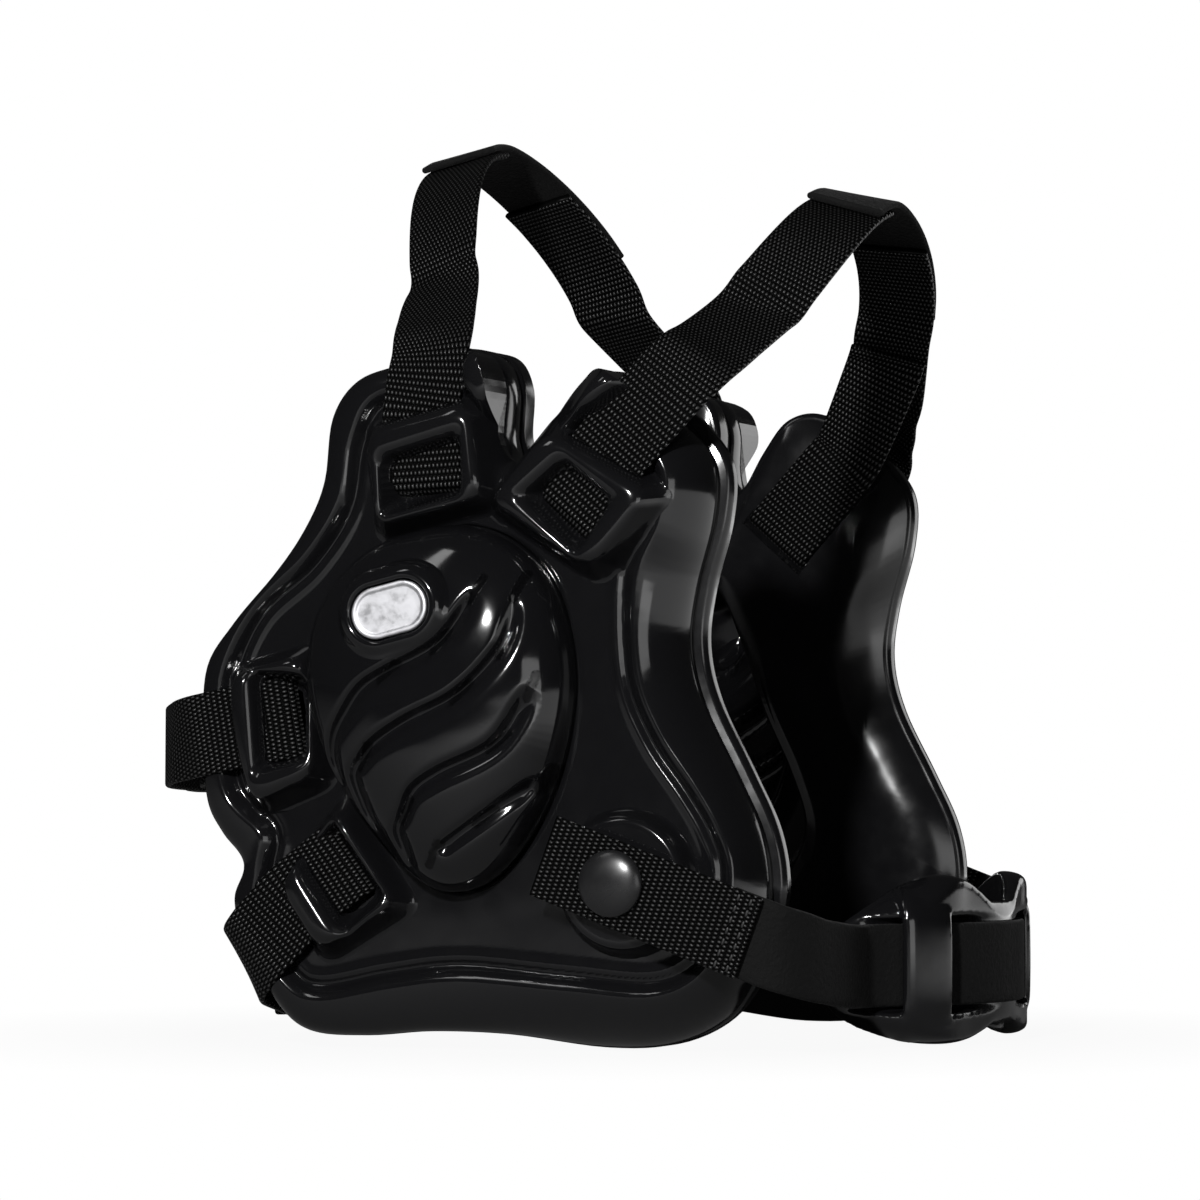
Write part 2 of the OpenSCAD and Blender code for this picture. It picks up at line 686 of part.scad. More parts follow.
// Sector of a ring around the chin's middle, from angle a to b off the front
module sector(r1, r2, a, b, z, h) {
    translate([0, -snap[0] - chin_offset, z]) rotate([0, 0, -90 + a])
        rotate_extrude(angle = b - a, $fn = 128) translate([r1, 0]) square([r2 - r1, h]);
}

module chin_cup() {
    low_notch = 4;
    high_notch = 6.5;
    drawn_chin_r = 57.4;
    side_points = [
        [0, cup_height - high_notch], [8, cup_height - high_notch + 0.5], [15, cup_height - 3.2],
        [22, cup_height - 0.6], [29, cup_height], [36.5, cup_height - 2.8], [43, cup_height - 8.5],
        [46.8, cup_height - 14], [47.8, 17], [46.8, 9], [43, 4.2], [36, 1], [28, 0], [20, 0.6],
        [13, 2.2], [7, low_notch - 0.3], [0, low_notch]
    ];
    right = open_curve([for (q = side_points) [q[0] * chin_r / drawn_chin_r, q[1]]], 3);
    outline = concat(right, [for (i = [len(right) - 2:-1:1]) [-right[i][0], right[i][1]]]);
    reach = snap[0] + chin_offset + chin_r + 20;
    translate([0, 0, -chin_drop]) intersection() {
        difference() {
            union() {
                sector(wall_out - chin_wall, wall_out, -chin_span, chin_span, -1, cup_height + 2);
                for (s = [-1, 1])
                    sector(wall_out - chin_wall, bar_in + chin_bar_t,
                        s > 0 ? bar_from : -bar_to, s > 0 ? bar_to : -bar_from, -1, cup_height + 2);
            }
            sector(wall_out, bar_in, -89, 89, chin_z - web_w / 2 - chin_gap, web_w + 2 * chin_gap);
        }
        rotate([90, 0, 0]) linear_extrude(reach) polygon(outline);
    }
}

/* ---- Nodes ---- */

// The origin lies under the middle of the headgear, level with the foot of the chin cup
chin_reach = snap[0] + chin_offset + chin_r + web_t / 2;
back_reach = upper_back_reach + web_t / 2 + layer + 2 * layer_gap;
module centred() { translate([0, (chin_reach - back_reach) / 2, chin_drop]) children(); }

color(vinyl) centred() on_right() shell();  // right_guard_shell
color(vinyl) centred() on_left() shell();  // left_guard_shell
color(vinyl) centred() on_right() pad();  // right_inner_pad
color(vinyl) centred() on_left() pad();  // left_inner_pad
color(moulded) centred() on_right() cup();  // right_ear_cup
color(moulded) centred() on_left() cup();  // left_ear_cup
color(silver) centred() on_right() badge();  // right_badge
color(silver) centred() on_left() badge();  // left_badge
color(silver) centred() on_right() snap_post();  // right_snap_post
color(silver) centred() on_left() snap_post();  // left_snap_post
color(silver) centred() on_right() snap_stud();  // right_snap_stud
color(silver) centred() on_left() snap_stud();  // left_snap_stud
color(silver) centred() on_right() snap_socket();  // right_snap_socket
color(silver) centred() on_left() snap_socket();  // left_snap_socket
color(black_cap) centred() on_right() snap_cap();  // right_snap_cap
color(black_cap) centred() on_left() snap_cap();  // left_snap_cap
color(pile) centred() front_band();  // front_crown_pile
color(webbing) centred() mirror([1, 0, 0]) front_web(84, 26, -1);  // front_crown_right_web
color(webbing) centred() front_web(60, 26, 1);  // front_crown_left_web
color(pile) centred() rear_band();  // rear_crown_pile
color(webbing) centred() mirror([1, 0, 0]) rear_web(84, 28, -1);  // rear_crown_right_web
color(webbing) centred() rear_web(60, 28, 1);  // rear_crown_left_web
color(pile) centred() upper_band();  // upper_back_pile
color(webbing) centred() mirror([1, 0, 0]) upper_web();  // upper_back_right_web
color(webbing) centred() upper_web();  // upper_back_left_web
color(pile) centred() lower_band();  // lower_back_pile
color(webbing) centred() mirror([1, 0, 0]) lower_web();  // lower_back_right_web
color(webbing) centred() lower_web();  // lower_back_left_web
color(pile) centred() chin_pile();
color(webbing) centred() on_right() chin_web();  // chin_right_web
color(webbing) centred() on_left() chin_web();  // chin_left_web
color(webbing) centred() chin_stitching();
color(moulded) centred() chin_cup();
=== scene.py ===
import json
import math
import bmesh
import bpy
import numpy as np
from mathutils import Matrix

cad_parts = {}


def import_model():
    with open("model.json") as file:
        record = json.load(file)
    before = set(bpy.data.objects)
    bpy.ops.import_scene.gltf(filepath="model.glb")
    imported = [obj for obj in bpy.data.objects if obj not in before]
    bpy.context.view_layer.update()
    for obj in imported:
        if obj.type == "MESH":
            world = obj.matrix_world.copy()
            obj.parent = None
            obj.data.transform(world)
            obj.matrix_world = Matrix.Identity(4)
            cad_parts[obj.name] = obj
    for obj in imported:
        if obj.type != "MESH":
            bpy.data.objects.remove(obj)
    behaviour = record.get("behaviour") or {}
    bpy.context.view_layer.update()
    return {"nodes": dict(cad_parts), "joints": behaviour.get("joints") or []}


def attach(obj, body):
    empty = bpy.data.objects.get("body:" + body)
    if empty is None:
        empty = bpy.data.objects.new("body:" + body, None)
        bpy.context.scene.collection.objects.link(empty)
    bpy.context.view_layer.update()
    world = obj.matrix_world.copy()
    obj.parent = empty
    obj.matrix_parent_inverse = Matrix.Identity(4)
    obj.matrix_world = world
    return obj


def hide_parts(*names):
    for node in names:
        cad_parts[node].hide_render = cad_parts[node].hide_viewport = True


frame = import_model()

# Millimetres here; each guard is drawn as (n, u, v): n outward, u forward, v up
joints = {j["name"]: j for j in frame["joints"]}


def jointPlace(name):
    return np.array(joints[name]["pos_m"]) * 1000


snap = {"u": 45.4, "v": 36.4}
shift = jointPlace("chin_strap_swing")[1] + snap["u"]
rise = jointPlace("chin_strap_swing")[2] - snap["v"]
level = {"padIn": 62, "face": 88, "frame": 95, "boss": 92}


def closedCurve(p, steps=8):
    # Catmull-Rom curve through every point, closed
    p = np.asarray(p, float)
    a, c, d = np.roll(p, 1, 0), np.roll(p, -1, 0), np.roll(p, -2, 0)
    t = (np.arange(steps) / steps)[None, :, None]
    a, b, c, d = (q[:, None, :] for q in (a, p, c, d))
    q = 0.5 * (2 * b + (c - a) * t + (2 * a - 5 * b + 4 * c - d) * t**2 + (3 * b - a - 3 * c + d) * t**3)
    return q.reshape(-1, p.shape[1])


def openCurve(p, steps=8):
    # Catmull-Rom curve through every point, from the first to the last
    p = np.asarray(p, float)
    ends = np.vstack([2 * p[0] - p[1], p, 2 * p[-1] - p[-2]])
    a, b, c, d = ends[:-3, None], ends[1:-2, None], ends[2:-1, None], ends[3:, None]
    t = (np.arange(steps) / steps)[None, :, None]
    q = 0.5 * (2 * b + (c - a) * t + (2 * a - 5 * b + 4 * c - d) * t**2 + (3 * b - a - 3 * c + d) * t**3)
    return np.vstack([q.reshape(-1, p.shape[1]), p[-1:]])


def evenly(p, count, closed=True):
    # the same curve with points at equal distances
    q = np.vstack([p, p[:1]]) if closed else p
    s = np.concatenate([[0], np.cumsum(np.linalg.norm(np.diff(q, axis=0), axis=1))])
    at = np.linspace(0, s[-1], count + 1)[:-1] if closed else np.linspace(0, s[-1], count)
    return np.stack([np.interp(at, s, q[:, k]) for k in range(q.shape[1])], 1)


def unit(v):
    return v / np.maximum(np.linalg.norm(v, axis=-1, keepdims=True), 1e-9)


def edgeDistance(q, p, closed=True):
    # distance from each point q to the line through p, and the share of the way along it
    a = p if closed else p[:-1]
    b = np.roll(p, -1, 0) if closed else p[1:]
    best = np.full(len(q), 1e9)
    where = np.zeros(len(q))
    for k in range(len(a)):
        e = b[k] - a[k]
        t = np.clip(((q - a[k]) @ e) / max(e @ e, 1e-9), 0, 1)
        d = np.hypot(*(q - a[k] - t[:, None] * e).T)
        near = d < best
        best[near] = d[near]
        where[near] = (k + t[near]) / len(a)
    return best, where


def inside(q, p):
    # even-odd test of points q in the closed line p
    x, y = q[:, 0], q[:, 1]
    hit = np.zeros(len(q), bool)
    for a, b in zip(p, np.roll(p, -1, 0)):
        if a[1] == b[1]:
            continue
        cross = ((a[1] > y) != (b[1] > y)) & (x < (b[0] - a[0]) * (y - a[1]) / (b[1] - a[1]) + a[0])
        hit ^= cross
    return hit


def depthIn(q, p):
    # distance to the closed line p, positive inside it
    d = edgeDistance(q, p)[0]
    return np.where(inside(q, p), d, -d)


def rayHit(centre, directions, p):
    # where rays from centre leave the closed line p, which is star-shaped about it
    angle = np.arctan2(p[:, 1] - centre[1], p[:, 0] - centre[0])
    radius = np.hypot(p[:, 0] - centre[0], p[:, 1] - centre[1])
    order = np.argsort(angle)
    at = np.arctan2(directions[:, 1], directions[:, 0])
    return np.interp(at, angle[order], radius[order], period=2 * np.pi)


def smoothMax(a, b, k):
    # the larger of two heights, blended over a step of k where they meet
    h = np.clip(0.5 + 0.5 * (a - b) / k, 0, 1)
    return b + (a - b) * h + k * h * (1 - h)


def smoothMin(a, b, k):
    return -smoothMax(-a, -b, k)


def ease(a, b, x):
    # rises from 0 at a to 1 at b as 3t^2 - 2t^3
    t = np.clip((x - a) / (b - a), 0, 1)
    return t * t * (3 - 2 * t)


def gridFaces(rows, cols, closedCols=False, closedRows=False):
    # four-sided faces between neighbours on a grid of points, joined round where it closes
    r = np.arange(rows if closedRows else rows - 1)[:, None]
    c = np.arange(cols if closedCols else cols - 1)[None, :]
    r2, c2 = (r + 1) % rows, (c + 1) % cols
    quads = np.stack([r * cols + c, r * cols + c2, r2 * cols + c2, r2 * cols + c], -1)
    return quads.reshape(-1, 4)


def addObject(name, points, faces, material, uv=None, smooth=True, extra=()):
    # points in millimetres; uv is one pair per point
    mesh = bpy.data.meshes.new(name)
    allFaces = list(map(list, faces)) + [list(f) for f in extra]
    mesh.from_pydata((np.asarray(points) / 1000).tolist(), [], allFaces)
    if uv is not None:
        layer = mesh.uv_layers.new(name="flat")
        index = np.empty(len(mesh.loops), int)
        mesh.loops.foreach_get("vertex_index", index)
        layer.data.foreach_set("uv", np.asarray(uv, float)[index].ravel())
    if smooth:
        mesh.polygons.foreach_set("use_smooth", np.ones(len(mesh.polygons), bool))
    mesh.materials.append(material)
    mesh.update()
    obj = bpy.data.objects.new(name, mesh)
    bpy.context.scene.collection.objects.link(obj)
    return obj


def tagOf(side):
    return "left" if side > 0 else "right"


def onSide(nuv, side):
    # guard frame (n, u, v) to the row frame
    return np.stack([side * nuv[:, 0], shift - nuv[:, 1], nuv[:, 2] + rise], 1)


def guardPiece(name, side, nuv, faces, material, uv=None, extra=(), smooth=True):
    # faces wind outward for the wearer's left guard seen from outside after the flip below
    faces = np.asarray(faces)
    if side < 0:
        faces = faces[:, ::-1]
        extra = [list(f)[::-1] for f in extra]
    return addObject(name, onSide(nuv, side), faces, material, uv, smooth, extra)


def cutWith(obj, cutters, operation="DIFFERENCE"):
    # takes closed cutters away from a closed piece, or keeps what lies in them
    for cutter in cutters:
        mod = obj.modifiers.new("cut", "BOOLEAN")
        mod.operation = operation
        mod.solver = "MANIFOLD"
        mod.object = cutter
    applyModifiers(obj)
    for cutter in cutters:
        bpy.data.objects.remove(cutter, do_unlink=True)


def applyModifiers(obj):
    depsgraph = bpy.context.evaluated_depsgraph_get()
    done = bpy.data.meshes.new_from_object(obj.evaluated_get(depsgraph))
    obj.modifiers.clear()
    old = obj.data
    obj.data = done
    done.name = obj.name
    bpy.data.meshes.remove(old)


def prism(name, side, outline, low, high):
    # closed straight block over a closed (u, v) line, from level low to high
    outline = np.asarray(outline, float)
    m = len(outline)
    nuv = np.vstack([np.column_stack([np.full(m, n), outline]) for n in (low, high)])
    area = np.sum(outline[:, 0] * np.roll(outline[:, 1], -1) - outline[:, 1] * np.roll(outline[:, 0], -1))
    faces = gridFaces(2, m, closedCols=True)
    caps = [list(range(m))[::-1], list(range(m, 2 * m))]
    if area < 0:
        faces = faces[:, ::-1]
        caps = [c[::-1] for c in caps]
    obj = guardPiece(name, side, nuv, faces, vinyl, extra=caps, smooth=False)
    return obj


def outwardNormals(obj):
    # turns the faces of a closed piece outward
    bm = bmesh.new()
    bm.from_mesh(obj.data)
    bmesh.ops.recalc_face_normals(bm, faces=bm.faces)
    bm.to_mesh(obj.data)
    bm.free()


def material(name):
    mat = bpy.data.materials.new(name)
    mat.use_nodes = True
    tree = mat.node_tree
    return mat, tree, tree.nodes["Principled BSDF"]


def mathNode(tree, operation, *values):
    node = tree.nodes.new("ShaderNodeMath")
    node.operation = operation
    for k, value in enumerate(values):
        if isinstance(value, (int, float)):
            node.inputs[k].default_value = value
        else:
            tree.links.new(value, node.inputs[k])
    return node.outputs[0]


def noise(tree, scale, detail=2, roughness=0.5):
    coord = tree.nodes.new("ShaderNodeTexCoord")
    node = tree.nodes.new("ShaderNodeTexNoise")
    node.inputs["Scale"].default_value = scale
    node.inputs["Detail"].default_value = detail
    node.inputs["Roughness"].default_value = roughness
    tree.links.new(coord.outputs["Object"], node.inputs["Vector"])
    return node.outputs["Fac"]


def bump(tree, shader, height, distance, strength=1.0):
    node = tree.nodes.new("ShaderNodeBump")
    node.inputs["Distance"].default_value = distance
    node.inputs["Strength"].default_value = strength
    tree.links.new(height, node.inputs["Height"])
    tree.links.new(node.outputs["Normal"], shader.inputs["Normal"])


def mapRange(tree, value, low, high, toLow, toHigh):
    node = tree.nodes.new("ShaderNodeMapRange")
    for k, v in zip(("From Min", "From Max", "To Min", "To Max"), (low, high, toLow, toHigh)):
        node.inputs[k].default_value = v
    tree.links.new(value, node.inputs["Value"])
    return node.outputs["Result"]


finishes = {
    "dipped_vinyl": {"colour": (0.0045, 0.0045, 0.005), "roughness": 0.11, "ripple": 0.00025},
    "foam_skin": {"colour": (0.0045, 0.0045, 0.005), "roughness": 0.16, "ripple": 0.0003},
    "cup_shell": {"colour": (0.004, 0.004, 0.0045), "roughness": 0.09, "ripple": 0.00015},
    "chin_mould": {"colour": (0.0045, 0.0045, 0.005), "roughness": 0.12, "ripple": 0.00025},
    "cap_enamel": {"colour": (0.008, 0.008, 0.0085), "roughness": 0.28, "ripple": 0.00005},
    "thread": {"colour": (0.01, 0.01, 0.01), "roughness": 0.5, "ripple": 0.0001},
}


def dippedVinyl(name):
    # a smooth black skin: slow ripples in its height, small ones in its gloss
    look = finishes[name]
    rough = look["roughness"]
    mat, tree, shader = material(name)
    shader.inputs["Base Color"].default_value = (*look["colour"], 1)
    shader.inputs["Specular IOR Level"].default_value = 0.5
    slow = noise(tree, 38, 1.5)
    gloss = mapRange(tree, noise(tree, 160, 3), 0.35, 0.7, rough * 0.85, rough * 1.25)
    tree.links.new(gloss, shader.inputs["Roughness"])
    bump(tree, shader, slow, look["ripple"])
    return mat


vinyl = dippedVinyl("dipped_vinyl")
foamSkin = dippedVinyl("foam_skin")
cupLook = dippedVinyl("cup_shell")
chinLook = dippedVinyl("chin_mould")


def wovenMaterial(name, pitch=(1.0, 1.45)):
    # rows of short yarns across the strap, each row set off by half a yarn; only the crowns catch light, and
    # a painted highlight makes their base colour lighter too
    mat, tree, shader = material(name)
    shader.inputs["Roughness"].default_value = 0.38
    uvNode = tree.nodes.new("ShaderNodeUVMap")
    uvNode.uv_map = "flat"
    split = tree.nodes.new("ShaderNodeSeparateXYZ")
    tree.links.new(uvNode.outputs["UV"], split.inputs["Vector"])
    x, y = split.outputs["X"], split.outputs["Y"]
    row = mathNode(tree, "FLOOR", mathNode(tree, "DIVIDE", y, pitch[1]))
    offset = mathNode(tree, "MULTIPLY", row, math.pi / 2)
    a = mathNode(tree, "ABSOLUTE", mathNode(tree, "SINE", mathNode(
        tree, "ADD", mathNode(tree, "MULTIPLY", x, math.pi / pitch[0]), offset)))
    b = mathNode(tree, "ABSOLUTE", mathNode(tree, "SINE", mathNode(tree, "MULTIPLY", y, math.pi / pitch[1])))
    height = mathNode(tree, "MULTIPLY", a, b)
    # painted highlight: the base colour grows lighter towards each yarn's crown
    crown = mapRange(tree, height, 0.55, 1.0, 0.0015, 0.03)
    crownHighlightColour = tree.nodes.new("ShaderNodeCombineColor")
    for k in range(3):
        tree.links.new(crown, crownHighlightColour.inputs[k])
    tree.links.new(crownHighlightColour.outputs[0], shader.inputs["Base Color"])
    tree.links.new(mapRange(tree, height, 0.4, 0.9, 0.05, 0.6), shader.inputs["Specular IOR Level"])
    bump(tree, shader, height, 0.0006, 0.9)
    return mat


def pileMaterial(name):
    # dull black loops: fine rough noise in the height and a little sheen
    mat, tree, shader = material(name)
    shader.inputs["Base Color"].default_value = (0.002, 0.002, 0.002, 1)
    shader.inputs["Roughness"].default_value = 0.85
    shader.inputs["Specular IOR Level"].default_value = 0.2
    shader.inputs["Sheen Weight"].default_value = 0.03
    shader.inputs["Sheen Roughness"].default_value = 0.4
    bump(tree, shader, noise(tree, 900, 3, roughness=0.7), 0.0006, 0.8)
    return mat


def metalMaterial(name, colour, roughness):
    # plain metal whose roughness varies a little
    mat, tree, shader = material(name)
    shader.inputs["Base Color"].default_value = (*colour, 1)
    shader.inputs["Metallic"].default_value = 1
    worn = mapRange(tree, noise(tree, 500, 4), 0.3, 0.7, roughness * 0.8, roughness * 1.3)
    tree.links.new(worn, shader.inputs["Roughness"])
    return mat


webbing = wovenMaterial("webbing")
pileBand = pileMaterial("pile")
badgeMetal = metalMaterial("badge_metal", (0.62, 0.62, 0.64), 0.48)
snapMetal = metalMaterial("snap_metal", (0.5, 0.5, 0.5), 0.3)
capEnamel = dippedVinyl("cap_enamel")
thread = dippedVinyl("thread")

guardLine = closedCurve([
    (-34, 1.8), (-42, 8), (-50, 21), (-53, 32), (-50.5, 40), (-56, 47), (-60, 55), (-61, 71),
    (-60, 86), (-53, 96), (-43, 106.8), (-35.2, 117.6), (-30.4, 128.4), (-28.4, 143), (-22, 151.5),
    (-11, 155), (1, 158), (10.2, 156.8), (14, 149.5), (13.8, 138.5), (16.3, 132), (20.5, 133.8),
    (25.5, 142.5), (31.5, 150.5), (39.5, 152.3), (48, 147.2), (57, 138.5), (62, 130), (61.5, 118),
    (57.5, 103), (56, 90), (59, 77), (67, 61), (73, 48), (75, 35), (73, 20), (66, 7.2),
    (53, 0.1), (36, -1.2), (14, 1.6), (-4, 2.1), (-20, 0.9)], 6)
cupLine = closedCurve([
    (2, 117.5), (15, 115.5), (26, 107), (31.5, 94), (33, 78), (29, 59), (20, 43), (9, 34.5),
    (-3, 36), (-17, 50), (-27, 65), (-31.5, 84), (-27.5, 101), (-15, 113)], 10)
earLine = closedCurve([
    (2, 115), (13, 108), (20, 93), (25.5, 77), (32.5, 62), (36.5, 49), (33, 38), (21, 29.5),
    (6, 29), (-4, 36), (-16, 52), (-25.5, 66), (-29.5, 84), (-25.5, 100), (-13, 111.5)], 10)
# inner edge of the raised band round the face
fieldLine = closedCurve([
    (-29.5, 12), (-13, 15), (5, 17), (31, 15), (53, 14), (64.5, 22), (68, 38), (65, 48),
    (59.5, 57), (51, 69), (45.5, 83), (45, 105), (50.5, 118), (52, 128), (44, 138), (36, 140),
    (28, 133), (16, 121), (7, 138), (2, 146), (-14, 146), (-20, 137), (-23, 122), (-32, 109),
    (-45, 98), (-52, 84), (-53, 70), (-51, 57), (-42, 48), (-43, 38), (-44, 26), (-37, 15)], 6)
middle = np.array([1.0, 77.0])

shellShape = {"edge": 74.0, "rearEdge": 81.0, "bandTop": 88.6, "full": 0.9, "drop": 2.4,
              "valley": 0.7, "ridge": 0.35}


def shellEdge(u):
    # level where the roll of the band ends: low along the front, high along the rear
    return shellShape["rearEdge"] + (shellShape["edge"] - shellShape["rearEdge"]) * ease(-5, 40, u)


def shellHeight(q):
    # the band rises from the outline as a broad quarter of an oval, and falls to the field behind a valley
    d = np.clip(depthIn(q, guardLine), 0, None)
    f = depthIn(q, fieldLine)
    s = shellShape
    share = np.where(f < 0, d / np.maximum(d - f, 1e-6), 1)
    turn = np.clip(1 - share / s["full"], 0, 1)
    edge = shellEdge(q[:, 0])
    power = 2.6 - 0.85 * ease(-5, 40, q[:, 0])
    band = edge + (s["bandTop"] - edge) * np.clip(1 - turn**power, 0, 1)**(1 / power)
    step = s["drop"] * ease(-3.0, 0.8, f)
    lines = s["ridge"] * np.exp(-((f - 2.6) / 0.9)**2) - s["valley"] * np.exp(-((f - 0.6) / 0.8)**2)
    return band - step + lines


def guardRings(columns):
    # points on the outline and the direction from the middle to each, along which callers find the matching
    # point on the opening
    outer = evenly(guardLine, columns)
    way = unit(outer - middle)
    return outer, way


def shellPiece(side):
    # each ray from the middle runs from the outline to the opening; its height is shellHeight,
    # and rings down the opening, across the back and up the side close it
    columns, topRows = 720, 84
    outer, way = guardRings(columns)
    hole = middle + way * rayHit(middle, way, cupLine)[:, None]
    # rows crowd towards the outer edge
    k = np.linspace(0, 1, topRows)
    share = 0.85 * k**2.2 + 0.15 * k
    rows = outer[None] + share[:, None, None] * (hole - outer)[None]
    flat = rows.reshape(-1, 2)
    n = shellHeight(flat).reshape(topRows, columns)
    n[0] = shellEdge(outer[:, 0])
    rings = [np.column_stack([n[i], rows[i]]) for i in range(topRows)]
    inward = unit(np.roll(outer, -3, 0) - np.roll(outer, 3, 0)) @ np.array([[0, -1], [1, 0]])
    def ring(line, nLevel):
        return np.column_stack([np.full(columns, nLevel), line])
    wall = [ring(hole, m) for m in (84, 80, 76, 72.2)]
    back = [ring(hole + s * (outer + 1.5 * inward - hole), 72.2) for s in (0.3, 0.65, 1)]
    up = [ring(outer + 0.7 * inward, 72.5), ring(outer + 0.2 * inward, 73.1), ring(outer, 73.6)]
    nuv = np.vstack(rings + wall + back + up)
    rowCount = topRows + len(wall) + len(back) + len(up)
    faces = gridFaces(rowCount, columns, closedCols=True, closedRows=True)
    obj = guardPiece(f"{tagOf(side)}_shell_face", side, nuv, faces, vinyl)
    return obj


frames = {
    "rear_crown": {
        "outer": [(-16, 139.3), (9.8, 145.3), (13.3, 123), (-13.6, 116.8)],
        "window": [(-11.9, 132.6), (6.8, 137.7), (7.3, 124.1), (-11.9, 119.6)],
        "slot": [(-3.5, 125.5), 92]},
    "front_crown": {
        "outer": [(13.6, 122.4), (28.4, 138.5), (53.8, 123.4), (44, 109.5), (38.5, 106)],
        "window": [(22.6, 123.3), (32.2, 131.2), (43.8, 121.9), (35.4, 110.5)],
        "slot": [(29.8, 119.6), 48]},
    "upper_back": {
        "outer": [(-50.3, 83.5), (-31.6, 88.7), (-28.4, 60), (-44, 53.6), (-49.5, 67)],
        "window": [(-44.4, 84.3), (-30.7, 83.2), (-30.6, 64.3), (-42.6, 61.5)],
        "slot": [(-36, 74), 190]},
    "lower_back": {
        "outer": [(-37.8, 35.1), (-23, 53.2), (-8.8, 31.2), (-27.5, 20.2)],
        "window": [(-34.8, 43.3), (-24.6, 50.7), (-11.2, 33), (-21.6, 24.2)],
        "slot": [(-22.5, 41.5), 217]},
}


def polygonDepth(q, corners, k):
    # depth inside a convex polygon with corners eased by k
    p = np.asarray(corners, float)
    area = np.sum(p[:, 0] * np.roll(p[:, 1], -1) - p[:, 1] * np.roll(p[:, 0], -1))
    if area < 0:
        p = p[::-1]
    depth = None
    for a, b in zip(p, np.roll(p, -1, 0)):
        e = unit(b - a)
        d = (q - a) @ np.array([-e[1], e[0]])
        depth = d if depth is None else smoothMin(depth, d, k)
    return depth


def edgeFall(s, r, slope=3.0):
    # how far a rounded edge has fallen at depth s inside it
    turn = 1 / math.sqrt(1 + slope * slope)
    s0 = r * (1 - slope * turn)
    rounded = r - np.sqrt(np.clip(r * r - np.clip(r - s, 0, r)**2, 0, None))
    return np.where(s > s0, rounded, r * (1 - turn) + slope * (s0 - s))


def frameHeight(q, f):
    # top level less the fall of an edge rounded at 3 mm, at the smaller of the depths inside the
    # outer corners and outside the window
    s = smoothMin(polygonDepth(q, f["outer"], 5), -polygonDepth(q, f["window"], 2.5), 1.6)
    return level["frame"] - edgeFall(s, 3.0, 2.6)


def patch(name, side, centre, angle, x0, x1, y0, y1, step, top, mat, k=2.0):
    # closed block whose top follows the larger of the shell and the feature, trimmed to the outline;
    # away from the feature it dives under the shell
    e1 = np.array([math.cos(math.radians(angle)), math.sin(math.radians(angle))])
    e2 = np.array([-e1[1], e1[0]])
    nx, ny = int((x1 - x0) / step) + 1, int((y1 - y0) / step) + 1
    x, y = np.linspace(x0, x1, nx), np.linspace(y0, y1, ny)
    gx, gy = np.meshgrid(x, y)
    q = np.asarray(centre) + gx.ravel()[:, None] * e1 + gy.ravel()[:, None] * e2
    shell = shellHeight(q)
    feature = top(q)
    n = smoothMax(feature, shell, k)
    n += 0.04 - 0.6 * (1 - ease(-k - 2, -k, feature - shell))
    topPoints = np.column_stack([n, q])
    faces = gridFaces(ny, nx)
    border = np.concatenate([np.arange(nx), np.arange(1, ny) * nx + nx - 1,
                             (ny - 1) * nx + np.arange(nx - 2, -1, -1), np.arange(ny - 2, 0, -1) * nx])
    low = topPoints[border].copy()
    low[:, 0] = 73
    base = len(topPoints)
    m = len(border)
    skirt = np.stack([border, base + np.arange(m), base + (np.arange(m) + 1) % m, np.roll(border, -1)], 1)
    faces = np.vstack([faces, skirt])
    bottom = [list(base + np.arange(m))[::-1]]
    obj = guardPiece(name, side, np.vstack([topPoints, low]), faces, mat, extra=bottom)
    outwardNormals(obj)
    line = evenly(guardLine, 360)
    inward = unit(np.roll(line, -1, 0) - np.roll(line, 1, 0)) @ np.array([[0, -1], [1, 0]])
    cutWith(obj, [prism("trim", side, line + 0.25 * inward, 60, 120)], operation="INTERSECT")
    return obj


def rect(centre, angle, x0, x1, y0, y1):
    a = math.radians(angle)
    e1, e2 = np.array([math.cos(a), math.sin(a)]), np.array([-math.sin(a), math.cos(a)])
    return [np.asarray(centre) + x * e1 + y * e2 for x, y in ((x0, y0), (x1, y0), (x1, y1), (x0, y1))]


print("shell and stations")
posts = {
    "rear": [(6.8, 150.4), (8.7, 156.2), (15.3, 156.4), (17.7, 153), (15.8, 146.3), (12.1, 143.2)],
    "front": [(33.4, 141.3), (39.7, 150.8), (43, 151.6), (46.1, 149.2), (41.8, 144.4)],
}


def bossHeight(q):
    # top level less the fall of an edge rounded at 1.6 mm, at the depth inside a disc
    return level["boss"] - edgeFall(15 - np.hypot(q[:, 0] - snap["u"], q[:, 1] - snap["v"]), 1.6)


def postHeight(q, corners):
    # the same fall, at the depth inside the post's corners
    return level["frame"] - edgeFall(polygonDepth(q, corners, 3), 3, 2.2)


def stationPieces(side):
    done = []
    tag = tagOf(side)
    for name, f in frames.items():
        centre, angle = f["slot"]
        obj = patch(f"{tag}_{name}_frame", side, centre, angle, -14, 30, -21, 21, 0.4,
                    lambda q, f=f: frameHeight(q, f), vinyl)
        tunnel = prism("tunnel", side, rect(centre, angle, 2, 40, -10.1, 10.1), 87.0, 90.8)
        outwardNormals(obj)
        cutWith(obj, [tunnel])
        done.append(obj)
    boss = patch(f"{tag}_boss", side, (snap["u"], snap["v"]), 0, -21, 21, -21, 21, 0.5,
                 bossHeight, vinyl, 1.4)
    done.append(boss)
    for name, corners in posts.items():
        middleOf = np.mean(corners, 0)
        done.append(patch(f"{tag}_{name}_post", side, middleOf, 0, -17, 17, -17, 17, 0.4,
                          lambda q, c=corners: postHeight(q, c), vinyl, 3))
    return done


padShape = {"lip": 2.5, "turn": 1.6, "swell": 19, "drop": 1.2, "frontDrop": 3.0, "earTurn": 2.5, "back": 71.9}


